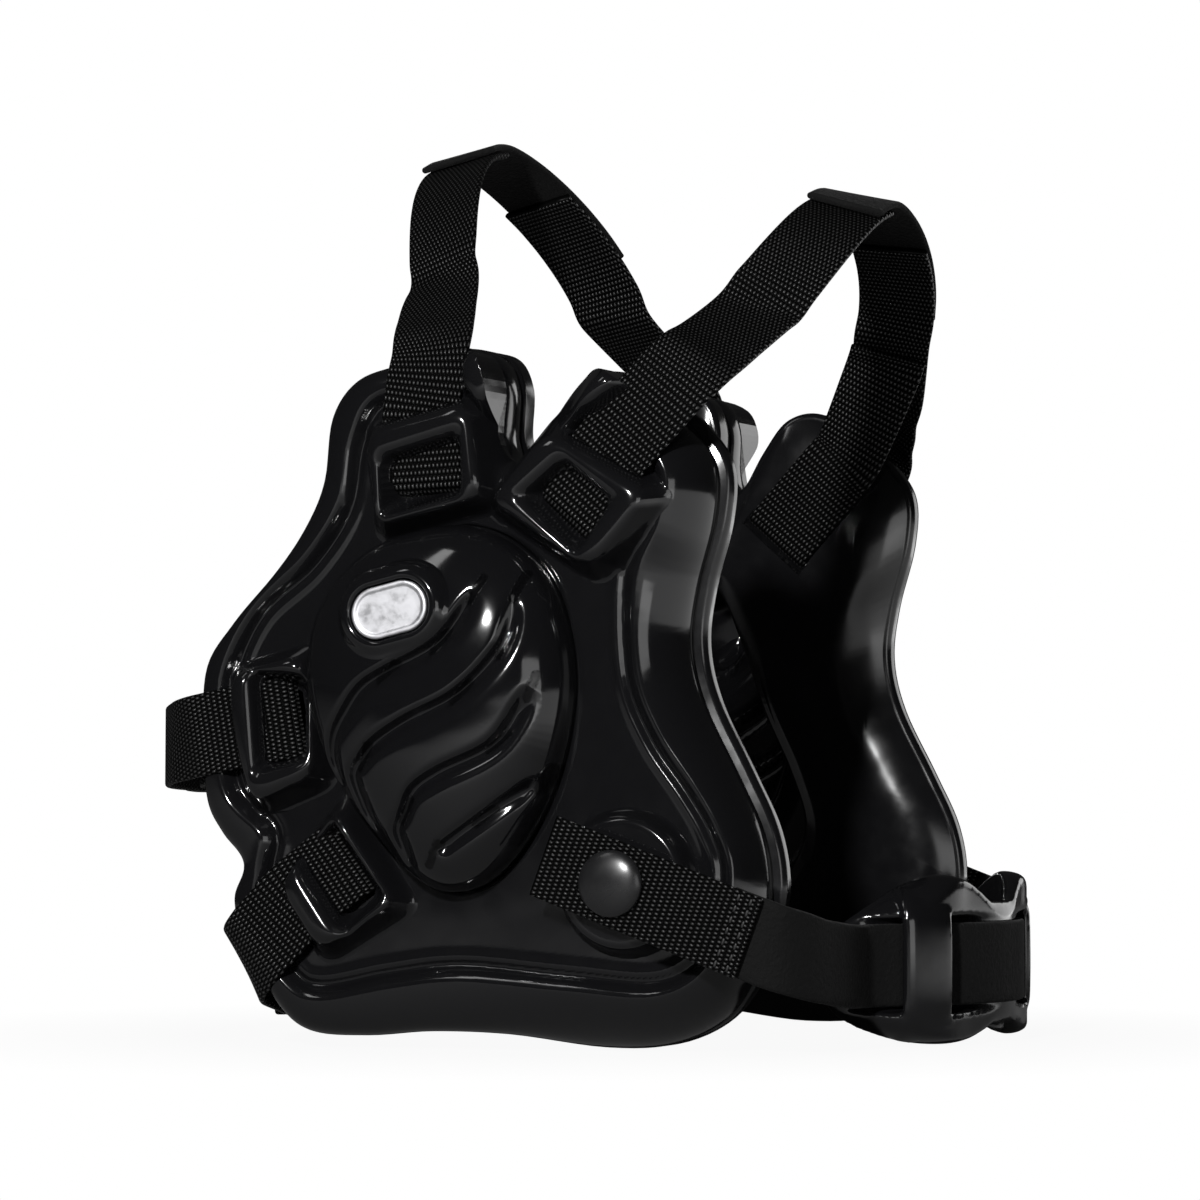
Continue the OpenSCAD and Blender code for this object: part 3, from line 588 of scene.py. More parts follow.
def padPiece(side):
    # rings from the outline in to the opening; the soft face falls away near its edge as
    # drop * (1 - distance / swell)^2.2, and quarter circles turn it down at both edges
    b = padShape
    base = level["padIn"]
    columns = 720
    outer, way = guardRings(columns)
    reach = np.clip((outer[:, 0] - 40) / 15, 0, 1) * np.clip((outer[:, 1] - 10) / 25, 0, 1)
    lipped = outer + np.column_stack([b["lip"] * reach, np.zeros(columns)])
    hole = middle + way * rayHit(middle, way, earLine)[:, None]
    inward = unit(np.roll(outer, -3, 0) - np.roll(outer, 3, 0)) @ np.array([[0, -1], [1, 0]])

    def ring(share, inset, n):
        line = lipped + inset * inward
        return np.column_stack([n * np.ones(columns), line + share * (hole - line)])
    rings = []
    # outer wall, a small turn at its edge, then the soft face swelling towards the head
    width = np.linalg.norm(hole - lipped, axis=1)
    drop = b["drop"] + b["frontDrop"] * ease(20, 45, outer[:, 0])
    for a in np.linspace(0, 90, 8):
        t = math.radians(a)
        rings.append(ring(0, b["turn"] * (1 - math.cos(t)), base + drop + b["turn"] * (1 - math.sin(t))))
    for share in np.linspace(0.02, 0.94, 30)**1.25:
        fall = np.clip(1 - share * width / b["swell"], 0, 1)
        rings.append(ring(share, b["turn"], base + drop * fall**2.2 + 0.8 * share**6))
    for a in np.linspace(0, 90, 6):
        t = math.radians(a)
        line = hole + b["earTurn"] * (1 - math.sin(t)) * way
        rings.append(np.column_stack([np.full(columns, base + 0.9 + b["earTurn"] * (1 - math.cos(t))), line]))
    for n in (68.0, b["back"]):
        rings.append(np.column_stack([np.full(columns, n), hole]))
    closing = ((0.5, 1.2, b["back"]), (0, 1.2, b["back"]), (0, 0.5, 71.5), (0, 0, 70.6), (0, 0, 69.4))
    for share, inset, n in closing:
        rings.append(ring(share, inset, n))
    nuv = np.vstack(rings)
    faces = gridFaces(len(rings), columns, closedCols=True, closedRows=True)
    obj = guardPiece(f"{tagOf(side)}_pad", side, nuv, faces, foamSkin)
    outwardNormals(obj)
    return obj


grooves = [
    {"line": [(14, 102.1), (6, 90.5), (-6.7, 83.9), (-12.9, 80.3), (-17, 75.6), (-21.5, 69.2),
              (-22.7, 62.9), (-20.9, 55), (-18, 50)], "depth": 2.6},
    {"line": [(22.9, 102.9), (20.3, 89.7), (10.8, 79), (-1.6, 72.8), (-9.6, 68.1), (-13.3, 64.7),
              (-16.5, 60.6), (-15, 53.6), (-12.8, 46.6), (-8.6, 41.5), (-4.4, 37.4)], "depth": 2.6},
    {"line": [(26.5, 80.3), (19.1, 68), (6, 61.3), (-0.3, 57.3), (-3.2, 52.5), (-5.7, 48.2),
              (-4.9, 43.7), (-3.2, 37.7)], "depth": 2.6},
    {"line": [(27.7, 59.7), (15.2, 51.2), (3.1, 42.9)], "depth": 2.2},
]
vents = [
    (14.4, 102.1, 62), (23.3, 102.8, 72), (6.4, 90.5, 50), (20.7, 89.7, 66), (26.9, 80.2, 68),
    (28.1, 59.7, 60), (15.6, 51.2, 38), (3.5, 42.9, 58), (-12.9, 64.7, 62), (-6.3, 83.8, 40),
    (11.3, 79, 46), (19.5, 68, 42), (-2.8, 52.5, 60),
]
cupShape = {"rise": 17, "power": 2.4, "wall": 2.2, "narrow": 1.1, "wide": 2.4, "gap": 0.2, "foot": 72.4}
ventShape = {"half": 2.9, "radius": 1.1}
badge = {"place": (-5.1, 97.7), "turn": 13.5, "half": 9.3, "radius": 5.9}


def pillDepth(q, place, turn, half, radius):
    # depth inside a pill: its radius less the distance to its middle line
    a = math.radians(turn)
    d = q - np.asarray(place)
    x = d[:, 0] * math.cos(a) + d[:, 1] * math.sin(a)
    y = -d[:, 0] * math.sin(a) + d[:, 1] * math.cos(a)
    return radius - np.hypot(np.clip(np.abs(x) - (half - radius), 0, None), y)


def grooveDepth(q):
    # each groove sinks as depth * exp(-(distance / width)^2), wider on one side, and fades at its ends
    total = np.zeros(len(q))
    for g in grooves:
        line = evenly(openCurve(g["line"]), 60, closed=False)
        d, where = edgeDistance(q, line, closed=False)
        k = np.clip((where * (len(line) - 1)).astype(int), 0, len(line) - 2)
        e = line[k + 1] - line[k]
        off = q - line[k]
        side = np.sign(e[:, 0] * off[:, 1] - e[:, 1] * off[:, 0])
        taper = ease(-0.02, 0.12, where) * (1 - ease(0.86, 1.02, where))
        width = np.where(side > 0, cupShape["wide"], cupShape["narrow"])
        total += g["depth"] * taper * np.exp(-(d / width)**2)
    return total


def cupHeight(q, rho):
    # dome of height rise * (1 - rho^power)^(1 / power), rho the share of the way out, less the grooves
    c = cupShape
    dome = level["face"] + c["rise"] * np.clip(1 - rho**c["power"], 0, 1)**(1 / c["power"])
    fade = 1 - ease(0.9, 0.995, rho)
    away = 1 - ease(-4.5, -1.5, pillDepth(q, badge["place"], badge["turn"], badge["half"], badge["radius"]))
    return dome - grooveDepth(q) * fade * away


def cupPiece(side):
    # dome outside, the same dome a wall smaller inside, and a foot that stands in the opening
    c = cupShape
    columns, rows, innerRows = 480, 104, 30
    outer = evenly(cupLine, columns)
    way = unit(outer - middle)
    radius = rayHit(middle, way, cupLine) - c["gap"]
    k = np.linspace(0, 1, rows)
    a = np.radians(90 * k)
    rho = 0.5 * np.cos(a)**(2 / c["power"]) + 0.5 * (1 - k)
    rho[0], rho[-1] = 1, 0.012
    q = middle + rho[:, None, None] * radius[None, :, None] * way[None]
    n = cupHeight(q.reshape(-1, 2), np.repeat(rho, columns)).reshape(rows, columns)
    foot = middle + radius[:, None] * way
    rings = [np.column_stack([np.full(columns, m), foot]) for m in (c["foot"], 76, 80, 84, 87)]
    rings += [np.column_stack([n[i], q[i]]) for i in range(rows)]
    top = np.vstack(rings)
    count = len(rings)
    # inside of the dome
    innerRadius = radius - c["wall"]
    k = np.linspace(0, 1, innerRows)
    rho2 = np.cos(np.radians(90 * k))**(2 / c["power"])
    rho2[-1] = 0.012
    inner = []
    for r in rho2[::-1]:
        p = middle + r * innerRadius[:, None] * way
        h = level["face"] + (c["rise"] - c["wall"]) * max(0, 1 - r**c["power"])**(1 / c["power"])
        sink = grooveDepth(p) * (1 - ease(0.9, 0.995, np.full(columns, r)))
        inner.append(np.column_stack([h - sink, p]))
    inner.append(np.column_stack([np.full(columns, c["foot"]), middle + innerRadius[:, None] * way]))
    inner = np.vstack(inner)
    nuv = np.vstack([top, inner])
    f1 = gridFaces(count, columns, closedCols=True)
    f2 = gridFaces(innerRows + 1, columns, closedCols=True) + len(top)
    last1 = (count - 1) * columns + np.arange(columns)
    first2 = len(top) + np.arange(columns)
    last2 = len(top) + innerRows * columns + np.arange(columns)
    join = np.stack([last2, np.roll(last2, -1), np.roll(np.arange(columns), -1), np.arange(columns)], 1)
    faces = np.vstack([f1, f2, join])
    extra = [list(last1), list(first2)[::-1]]
    obj = guardPiece(f"{tagOf(side)}_cup_dome", side, nuv, faces, cupLook, extra=extra)
    outwardNormals(obj)
    cutters = []
    for u, v, turn in vents:
        t = np.linspace(0, 2 * np.pi, 24, endpoint=False)
        x = ventShape["radius"] * np.cos(t) + np.sign(np.cos(t) + 1e-9) * ventShape["half"]
        y = ventShape["radius"] * np.sin(t)
        turnSin, turnCos = math.sin(math.radians(turn)), math.cos(math.radians(turn))
        line = np.column_stack([u + x * turnCos - y * turnSin, v + x * turnSin + y * turnCos])
        cutters.append(prism("vent", side, line, 84, 112))
    cutWith(obj, cutters)
    return obj


ringProfile = [
    (-2.5, 104.0), (0.1, 104.0), (0.25, 104.2), (0.35, 104.9), (0.6, 105.25), (1.0, 105.45),
    (1.5, 105.5), (2.0, 105.35), (2.6, 104.9), (3.2, 104.2), (3.8, 103.3), (4.4, 102.2), (5, 101)]
plateProfile = [
    (0.1, 104.05), (0.05, 104.9), (0.15, 105.2), (0.4, 105.35), (0.9, 105.35), (1.15, 105.2),
    (1.3, 105.05), (1.6, 105.02), (3, 105.04), (5.4, 105.06)]


def pillLine(offset, columns):
    # half circles joined by straight sides, an offset outside the badge's edge
    b = badge
    a = math.radians(b["turn"])
    t = np.linspace(0, 2 * np.pi, columns, endpoint=False)
    r = b["radius"] + offset
    x = r * np.cos(t) + np.clip(np.cos(t) * 40, -1, 1) * (b["half"] - b["radius"])
    y = r * np.sin(t)
    return np.column_stack([b["place"][0] + x * math.cos(a) - y * math.sin(a),
                            b["place"][1] + x * math.sin(a) + y * math.cos(a)])


def badgeRing(side):
    # raised ring and seat round the badge: a profile of (offset, level) swept round a pill,
    # its foot blended into the dome
    columns = 220
    rings = []
    for s, n in ringProfile:
        p = pillLine(s, columns)
        if s > 2:
            rho = np.hypot(*(p - middle).T) / (rayHit(middle, unit(p - middle), cupLine) - cupShape["gap"])
            dome = cupHeight(p, rho)
            n = smoothMax(np.full(columns, n), dome, 1.2) + 0.05 - 0.3 * (s == 5)
        rings.append(np.column_stack([np.full(columns, 1.0) * n, p]))
    for k, n in ((-1, rings[-1][:, 0] - 2), (0, 102.5)):
        low = rings[k].copy()
        low[:, 0] = n
        rings.append(low)
    faces = gridFaces(len(rings), columns, closedCols=True, closedRows=True)
    obj = guardPiece(f"{tagOf(side)}_badge_ring", side, np.vstack(rings), faces, cupLook)
    outwardNormals(obj)
    return obj


def badgePiece(side):
    # bare plate with a raised rim: a profile of (inset, level) swept round a pill, capped at both ends
    columns = 200
    rings = [np.column_stack([np.full(columns, n), pillLine(-inset, columns)]) for inset, n in plateProfile]
    faces = gridFaces(len(rings), columns, closedCols=True)
    extra = [list(range(columns))[::-1], list((len(rings) - 1) * columns + np.arange(columns))]
    obj = guardPiece(f"{tagOf(side)}_badge_plate", side, np.vstack(rings), faces, badgeMetal, extra=extra)
    outwardNormals(obj)
    return obj


strapShape = {"width": 19.0, "thick": 1.6, "gap": 0.2, "clear": 0.3, "step": 1.0, "smoothing": 3}


def ribbon(name, points, sides, mat, lift=0.0):
    # flat strap with half round edges: a point at (x, z) of the section lies at
    # path + x * side + z * up, with up square to the path and its side
    b = strapShape
    p = openCurve(points, 10)
    w = openCurve(sides, 10)
    length = np.concatenate([[0], np.cumsum(np.linalg.norm(np.diff(p, axis=0), axis=1))])
    count = int(length[-1] / b["step"]) + 1
    at = np.linspace(0, length[-1], count)
    p = np.stack([np.interp(at, length, p[:, k]) for k in range(3)], 1)
    w = np.stack([np.interp(at, length, w[:, k]) for k in range(3)], 1)
    for _ in range(b["smoothing"]):
        p[1:-1] = (p[:-2] + 2 * p[1:-1] + p[2:]) / 4
        w[1:-1] = (w[:-2] + 2 * w[1:-1] + w[2:]) / 4
    tangent = unit(np.gradient(p, axis=0))
    w = unit(w - np.sum(w * tangent, 1)[:, None] * tangent)
    up = np.cross(tangent, w)
    p = p + lift * up
    r = b["thick"] / 2
    half = b["width"] / 2 - r
    flat = np.linspace(-half, half, 13)
    turn = np.radians(np.linspace(90, -90, 7))[1:-1]
    x = np.concatenate([flat, half + r * np.cos(turn), flat[::-1], -half - r * np.cos(turn)])
    z = np.concatenate([np.full(13, r), r * np.sin(turn), np.full(13, -r), -r * np.sin(turn)])
    ring = len(x)
    points3 = p[:, None] + x[None, :, None] * w[:, None] + z[None, :, None] * up[:, None]
    arc = np.concatenate([[0], np.cumsum(np.linalg.norm(np.diff(p, axis=0), axis=1))])
    uv = np.stack(np.broadcast_arrays(x[None, :], arc[:, None]), -1).reshape(-1, 2)
    faces = gridFaces(count, ring, closedCols=True)
    extra = [list(range(ring))[::-1], list((count - 1) * ring + np.arange(ring))]
    obj = addObject(name, points3.reshape(-1, 3), faces, mat, uv, True, extra)
    outwardNormals(obj)
    return obj


def world(n, u, v):
    return np.array([n, shift - u, v + rise], float)


stationOf = {"rear": "rear_crown", "front": "front_crown", "upper": "upper_back", "lower": "lower_back"}
stations = {key: frames[name]["slot"] for key, name in stationOf.items()}
barAt = {"rear": 16.5, "front": 16.5, "upper": 13.5, "lower": 15.8}
outerN = level["face"] + strapShape["thick"] / 2 + strapShape["clear"]
innerN = level["padIn"] - strapShape["thick"] / 2 - strapShape["clear"]


def onStrap(s, along, n):
    (u, v), a = stations[s]
    return world(n, u + along * math.cos(math.radians(a)), v + along * math.sin(math.radians(a)))


def across(s):
    a = math.radians(stations[s][1])
    return np.array([0, math.sin(a), math.cos(a)])


def stationLoop(s, last):
    # over the frame's bar, down through the slot and along the inner side of the pad
    steps = [(barAt[s], outerN), (8, outerN), (3.6, outerN), (1.4, outerN - 0.2), (-0.2, outerN - 1.8),
             (-0.7, outerN - 5), (-0.7, innerN + 5), (-0.2, innerN + 1.8), (1.4, innerN + 0.2),
             (3.6, innerN), (8, innerN), (last, innerN)]
    return [onStrap(s, a, n) for a, n in steps]


def signedPower(a, e):
    return np.sign(a) * np.abs(a)**e


crownArch = {"rear": {"span": 62, "spring": 162, "top": 210.8, "power": 1.76},
             "front": {"span": 60, "spring": 150, "top": 196.6, "power": 1.57}}


def archPoint(angle, c):
    # oval arch: span * cos^(2 / power) outward and (top - spring) * sin^(2 / power) up
    a = math.radians(angle)
    e = 2 / c["power"]
    high = c["top"] - c["spring"]
    return c["span"] * signedPower(math.cos(a), e), c["spring"] + high * signedPower(math.sin(a), e)


def rearPoint(angle):
    n, v = archPoint(angle, crownArch["rear"])
    return world(n, -9.8 - 16 * math.sin(math.radians(angle))**2, v)


def rearSide(angle, side):
    # the straps lie twisted, one way at the wearer's left and the other at the right
    a = math.radians(angle)
    c = math.radians(10.6 - side * 7.8 * math.cos(a))
    return np.array([-math.sin(c) * math.cos(a), math.cos(c), -math.sin(c) * math.sin(a)])


def frontPoint(angle):
    c = crownArch["front"]
    n, v = archPoint(angle, c)
    s = (v - c["spring"]) / (c["top"] - c["spring"])
    return world(n, 52 + 20.5 * (1 - max(0, 1 - s)**1.8), v)


def frontSide(angle, side):
    a = math.radians(angle)
    c = math.radians(11.8 - side * 15.8 * math.cos(a))
    return np.array([math.sin(c) * math.cos(a), math.cos(c), math.sin(c) * math.sin(a)])


def liftedEnd(points, sides, d):
    p, w = np.array(points), np.array(sides)
    t = unit(np.gradient(p, axis=0))
    w = unit(w - np.sum(w * t, 1)[:, None] * t)
    return list(p + d * np.cross(t, w))


def mirrored(points):
    return [np.array(p) * [-1, 1, 1] for p in points]


def rearTab(end, side):
    s = "rear"
    turns = list(range(end, 19, -8))
    p = [rearPoint(a) for a in turns]
    w = [rearSide(a, side) for a in turns]
    over = [(72, -7.2, 167.5), (80, -4.6, 163), (86, -2.8, 158), (88.9, -2.8, 152.3), (outerN, -3.4, 147)]
    p += [world(*q) for q in over]
    w += [rearSide(0, side) + across(s)] + [across(s)] * 4
    p += stationLoop(s, 24) + [world(innerN - 0.3, -4.6, 154)]
    w += [across(s)] * 13
    return p, w


frontOver = {1: [(66, 58.5, 157.5), (74, 55, 153.5), (81, 53, 149.5), (87, 50.3, 144.6)],
             -1: [(70, 60.8, 158.8), (80, 59.6, 154.8), (86.2, 56.6, 149.8), (88.6, 51.8, 144)]}


def frontTab(end, side):
    # the right tab ends behind its guard; the left one turns back up under the band
    s = "front"
    turns = list(range(end, 21, -8))
    p = [frontPoint(a) for a in turns]
    w = [frontSide(a, side) for a in turns]
    p += [world(*q) for q in frontOver[side]] + [world(outerN, 47, 138.7)]
    w += [frontSide(0, side) + across(s), frontSide(0, side) + 3 * across(s)] + [across(s)] * 3
    p += stationLoop(s, 24)
    w += [across(s)] * 12
    if side < 0:
        return p + [world(innerN - 0.3, 48.6, 140.5)], w + [across(s)]
    back = list(range(20, 27, 6))
    p += [world(innerN - 0.6, 50, 142)]
    p += liftedEnd([frontPoint(a) for a in back], [frontSide(a, side) for a in back], 1.8)
    w += [across(s)] + [frontSide(a, side) for a in back]
    return p, w


backStrap = {
    "upper": {
        "reach": 84, "level": 66,
        "route": [(88.7, -57.5, 70.2), (86, -63.5, 69.2), (79, -70.8, 68.1), (66, -78, 67),
                  (40, -83.2, 66.3)],
        "inner": [(innerN, -61.5, 69.5), (innerN - 1.5, -68, 68.6), (innerN - 5, -73.3, 67.8),
                  (innerN - 12, -77.6, 67)]},
    "lower": {
        "reach": 60, "level": 12.5,
        "route": [(89.3, -39.8, 27), (89.1, -44.8, 21.8), (84, -50, 17.2), (72, -51.2, 15),
                  (42, -58.3, 12.9)],
        "inner": [(innerN - 0.4, -40.5, 25.5), (innerN - 1.6, -44.5, 21.2), (innerN - 4, -48, 17.8),
                  (innerN - 10, -51.2, 15.4)]},
}
upright = np.array([0, 0, 1.0])


def backTab(s, turned):
    # from the band, round the guard's rear edge, through the slot and back along the pad
    b = backStrap[s]
    p = [world(30, -b["reach"], b["level"])] + [world(*q) for q in b["route"][::-1]]
    p += stationLoop(s, 20) + [world(*q) for q in b["inner"]]
    w = [upright] + turned[::-1] + [-across(s)] * 12 + turned[:4]
    return p, w


def backBand(s):
    b = backStrap[s]
    half = [world(*q) for q in b["route"] if q[0] < 48]
    half += [world(30, -b["reach"], b["level"]), world(0, -b["reach"], b["level"])]
    whole = half + mirrored(half[:-1][::-1])
    return whole, [upright] * len(whole)


print("straps")


def strapPieces():
    done = {}
    tabs = {"rear_crown_left_tab": rearTab(60, 1), "rear_crown_right_tab": rearTab(84, -1),
            "front_crown_left_tab": frontTab(60, 1), "front_crown_right_tab": frontTab(84, -1)}
    sideUp, low = -across("upper"), -across("lower")
    turned = {"upper": [sideUp, sideUp, upright, upright, upright],
              "lower": [low, low, low + [0, 0, 0.2], low + [0, 0, 0.8], upright]}
    for s in ("upper", "lower"):
        for tag in ("left", "right"):
            tabs[f"{s}_back_{tag}_tab"] = backTab(s, turned[s])
    for name, (p, w) in tabs.items():
        if "right" in name:
            p, w = mirrored(p), mirrored(w)
        done[name] = ribbon(name, p, w, webbing)
    crown = list(range(108, 35, -8))
    bands = {"front_crown_band": (frontPoint, frontSide), "rear_crown_band": (rearPoint, rearSide)}
    for name, (pointAt, sideAt) in bands.items():
        path, sides = [pointAt(a) for a in crown], [sideAt(a, 1) for a in crown]
        done[name] = ribbon(name, path, sides, pileBand, lift=2.0)
    for s in ("upper", "lower"):
        done[f"{s}_back_band"] = ribbon(f"{s}_back_band", *backBand(s), pileBand, lift=2.2)
    return done


snapShape = {"metal": 0.8, "socket": 2.6, "radius": 7.5, "rim": 0.9, "dome": 2.3, "stem": 1.5, "nose": 0.7}
chin = {"u": 52.0, "radius": 57.4, "z": 17.0, "bend": 46.5,
        "slope": 20.5, "tabBack": 17.5, "tabFront": 34, "lap": 7}
tabN = level["boss"] + snapShape["metal"] + snapShape["socket"] + strapShape["gap"]
bandMid = tabN + strapShape["thick"] / 2 - (strapShape["thick"] + strapShape["gap"])
slopeWay = np.array([math.cos(math.radians(chin["slope"])), -math.sin(math.radians(chin["slope"]))])


def onTab(along, n):
    return world(n, snap["u"] + along * slopeWay[0], snap["v"] + along * slopeWay[1])


def onChin(angle):
    a = math.radians(angle)
    r = chin["radius"]
    return world(r * math.sin(a), chin["u"] + r * math.cos(a), chin["z"])


def besideChin(share, du, dv):
    # a share of the way from the end of the bend out to the tab
    e = onChin(chin["bend"])
    return np.array([e[0] + share * (bandMid - e[0]), e[1] + 5.2 - du, e[2] + dv])


def chinPieces():
    done = {}
    side = np.array([0, slopeWay[1], slopeWay[0]])
    for sign in (1, -1):
        name = f"chin_{tagOf(sign)}_tab"
        tabMid = tabN + strapShape["thick"] / 2
        p = [onTab(a, tabMid) for a in np.linspace(-chin["tabBack"], chin["tabFront"], 9)]
        w = [side] * 9
        if sign < 0:
            p, w = mirrored(p), mirrored(w)
        done[name] = ribbon(name, p, w, webbing)
    e = onChin(chin["bend"])
    start = chin["tabFront"] - chin["lap"]
    half = [onTab(start, bandMid), onTab(start + 3, bandMid - 0.05), onTab(chin["tabFront"], bandMid - 0.6),
            besideChin(0.955, -4, 5.4), besideChin(0.875, -0.3, 3.9), besideChin(0.742, 2, 2.4),
            besideChin(0.537, 3.1, 1.1), besideChin(0.324, 3.1, 0.3),
            e + [6.9, 2.6, 0], e + [3.4, 1.9, 0]] + [onChin(a) for a in np.linspace(chin["bend"], 0, 9)]
    whole = half + mirrored(half[:-1][::-1])
    ends = [side, side, side, side + [0, 0, 0.6], side + [0, 0, 2.5]]
    w = ends + [upright] * (len(whole) - 10) + ends[::-1]
    done["chin_band"] = ribbon("chin_band", whole, w, pileBand)
    return done


stitch = {"rows": (32, 29), "each": 3, "pitch": 2.6, "half": 0.8, "radius": 0.32, "sunk": 1.65}


def stitches():
    # capsule stitches in two rows across the end of each tab, their radius as sin^0.5 along them
    b = stitch
    rows, around = 7, 8
    t = np.linspace(0, np.pi, rows)
    ringAngle = np.linspace(0, 2 * np.pi, around, endpoint=False)
    along = -b["half"] * np.cos(t)
    radius = b["radius"] * np.sin(t)**0.5
    radius[0] = radius[-1] = 0.02
    points, faces = [], []
    columns = range(-b["each"], b["each"] + 1)
    places = [(sign, row, k) for sign in (1, -1) for row in b["rows"] for k in columns]
    for count, (sign, row, k) in enumerate(places):
        local = np.stack([row + radius[:, None] * np.cos(ringAngle),
                          np.broadcast_to(k * b["pitch"] + along[:, None], (rows, around)),
                          tabN + b["sunk"] + 0.6 * radius[:, None] * np.sin(ringAngle)], -1).reshape(-1, 3)
        u = snap["u"] + local[:, 0] * slopeWay[0] - local[:, 1] * slopeWay[1]
        v = snap["v"] + local[:, 0] * slopeWay[1] + local[:, 1] * slopeWay[0]
        base = count * rows * around
        points.append(onSide(np.column_stack([local[:, 2], u, v]), sign))
        faces += (gridFaces(rows, around, closedCols=True) + base).tolist()
        faces.append([base + i for i in range(around)][::-1])
        faces.append([base + (rows - 1) * around + i for i in range(around)])
    obj = addObject("chin_stitches", np.vstack(points), faces, thread)
    outwardNormals(obj)
    return obj


def lathe(name, side, profile, centre, mat, columns=96):
    # closed solid of revolution about the n axis; profile is (radius, n), from the axis back to it
    t = np.linspace(0, 2 * np.pi, columns, endpoint=False)
    rings = []
    for r, n in profile:
        r = max(r, 0.02)
        u, v = centre[0] + r * np.cos(t), centre[1] + r * np.sin(t)
        rings.append(np.column_stack([np.full(columns, n), u, v]))
    faces = gridFaces(len(rings), columns, closedCols=True)
    extra = [list(range(columns))[::-1], list((len(rings) - 1) * columns + np.arange(columns))]
    obj = guardPiece(name, side, np.vstack(rings), faces, mat, extra=extra)
    outwardNormals(obj)
    return obj


def capPiece(side):
    # low dome of radius * sin a across and dome * cos a high, with a stem down to the socket
    b = snapShape
    base = tabN + strapShape["thick"]
    profile = []
    for a in range(0, 91, 6):
        turn = math.radians(a)
        profile.append((b["radius"] * math.sin(turn), base + b["rim"] + b["dome"] * math.cos(turn)))
    profile += [(7.45, base + 0.5), (7.2, base + 0.05), (b["stem"], base + 0.05),
                (b["stem"], tabN - b["nose"]), (0.02, tabN - b["nose"])]
    return lathe(f"{tagOf(side)}_cap", side, profile, (snap["u"], snap["v"]), capEnamel)


chinCup = {
    "height": 39, "wall": 3, "gap": 0.5, "edge": 3.6, "backEdge": 1.6,
    "lobe": {"swell": 5.4, "at": 37.5, "spread": 15, "drum": 59, "low": (7.2, 8.3), "high": (28.7, 29.8)},
    "bar": {"at": 37.3, "half": 6.4, "thick": 1.9,
            "z": (2.2, 3.4, 5.2, 7.4, 10, 18.5, 27, 29.6, 31.8, 33.6, 34.8),
            "r": (54.8, 57.2, 59.3, 60.3, 60.6, 60.7, 60.6, 60.3, 59.3, 57.2, 54.8)},
    "voxel": 0.0006, "soften": 4,
}


def onDrum(x, z, r):
    # x from the middle plane and height z on an upright drum of radius r round the chin
    return np.stack([x, shift - chin["u"] - np.sqrt(np.clip(r**2 - x**2, 1, None)), z], -1)


def lobeSwell(p):
    # the lobes above and below the strap swell out level with the bars: a bell over the angle
    b = chinCup["lobe"]
    angle = np.degrees(np.arcsin(np.clip(np.abs(p[:, 0]) / b["drum"], 0, 1)))
    beside = 1 - ease(*b["low"], p[:, 1]) + ease(*b["high"], p[:, 1])
    return b["swell"] * np.exp(-((angle - b["at"]) / b["spread"])**2) * beside


def chinBar(sign):
    # superellipse section carried up a bowed path outside the strap
    b = chinCup["bar"]
    rows, around = 60, 28
    path = evenly(openCurve(np.column_stack([b["z"], b["r"]]), 8), rows, closed=False)
    tangent = unit(np.gradient(path, axis=0))
    ringAngle = np.linspace(0, 2 * np.pi, around, endpoint=False)
    c, s = np.cos(ringAngle), np.sin(ringAngle)
    angle = np.radians(b["at"]) + np.radians(b["half"]) * np.sign(c) * np.abs(c)**0.7
    out = b["thick"] * np.sign(s) * np.abs(s)**0.8
    z = path[:, :1] - tangent[:, 1:] * out
    r = path[:, 1:] + tangent[:, :1] * out
    x = sign * r * np.sin(angle)
    faces = gridFaces(rows, around, closedCols=True)
    caps = [list(range(around))[::-1], list((rows - 1) * around + np.arange(around))]
    return onDrum(x.ravel(), z.ravel(), r.ravel()), faces, caps


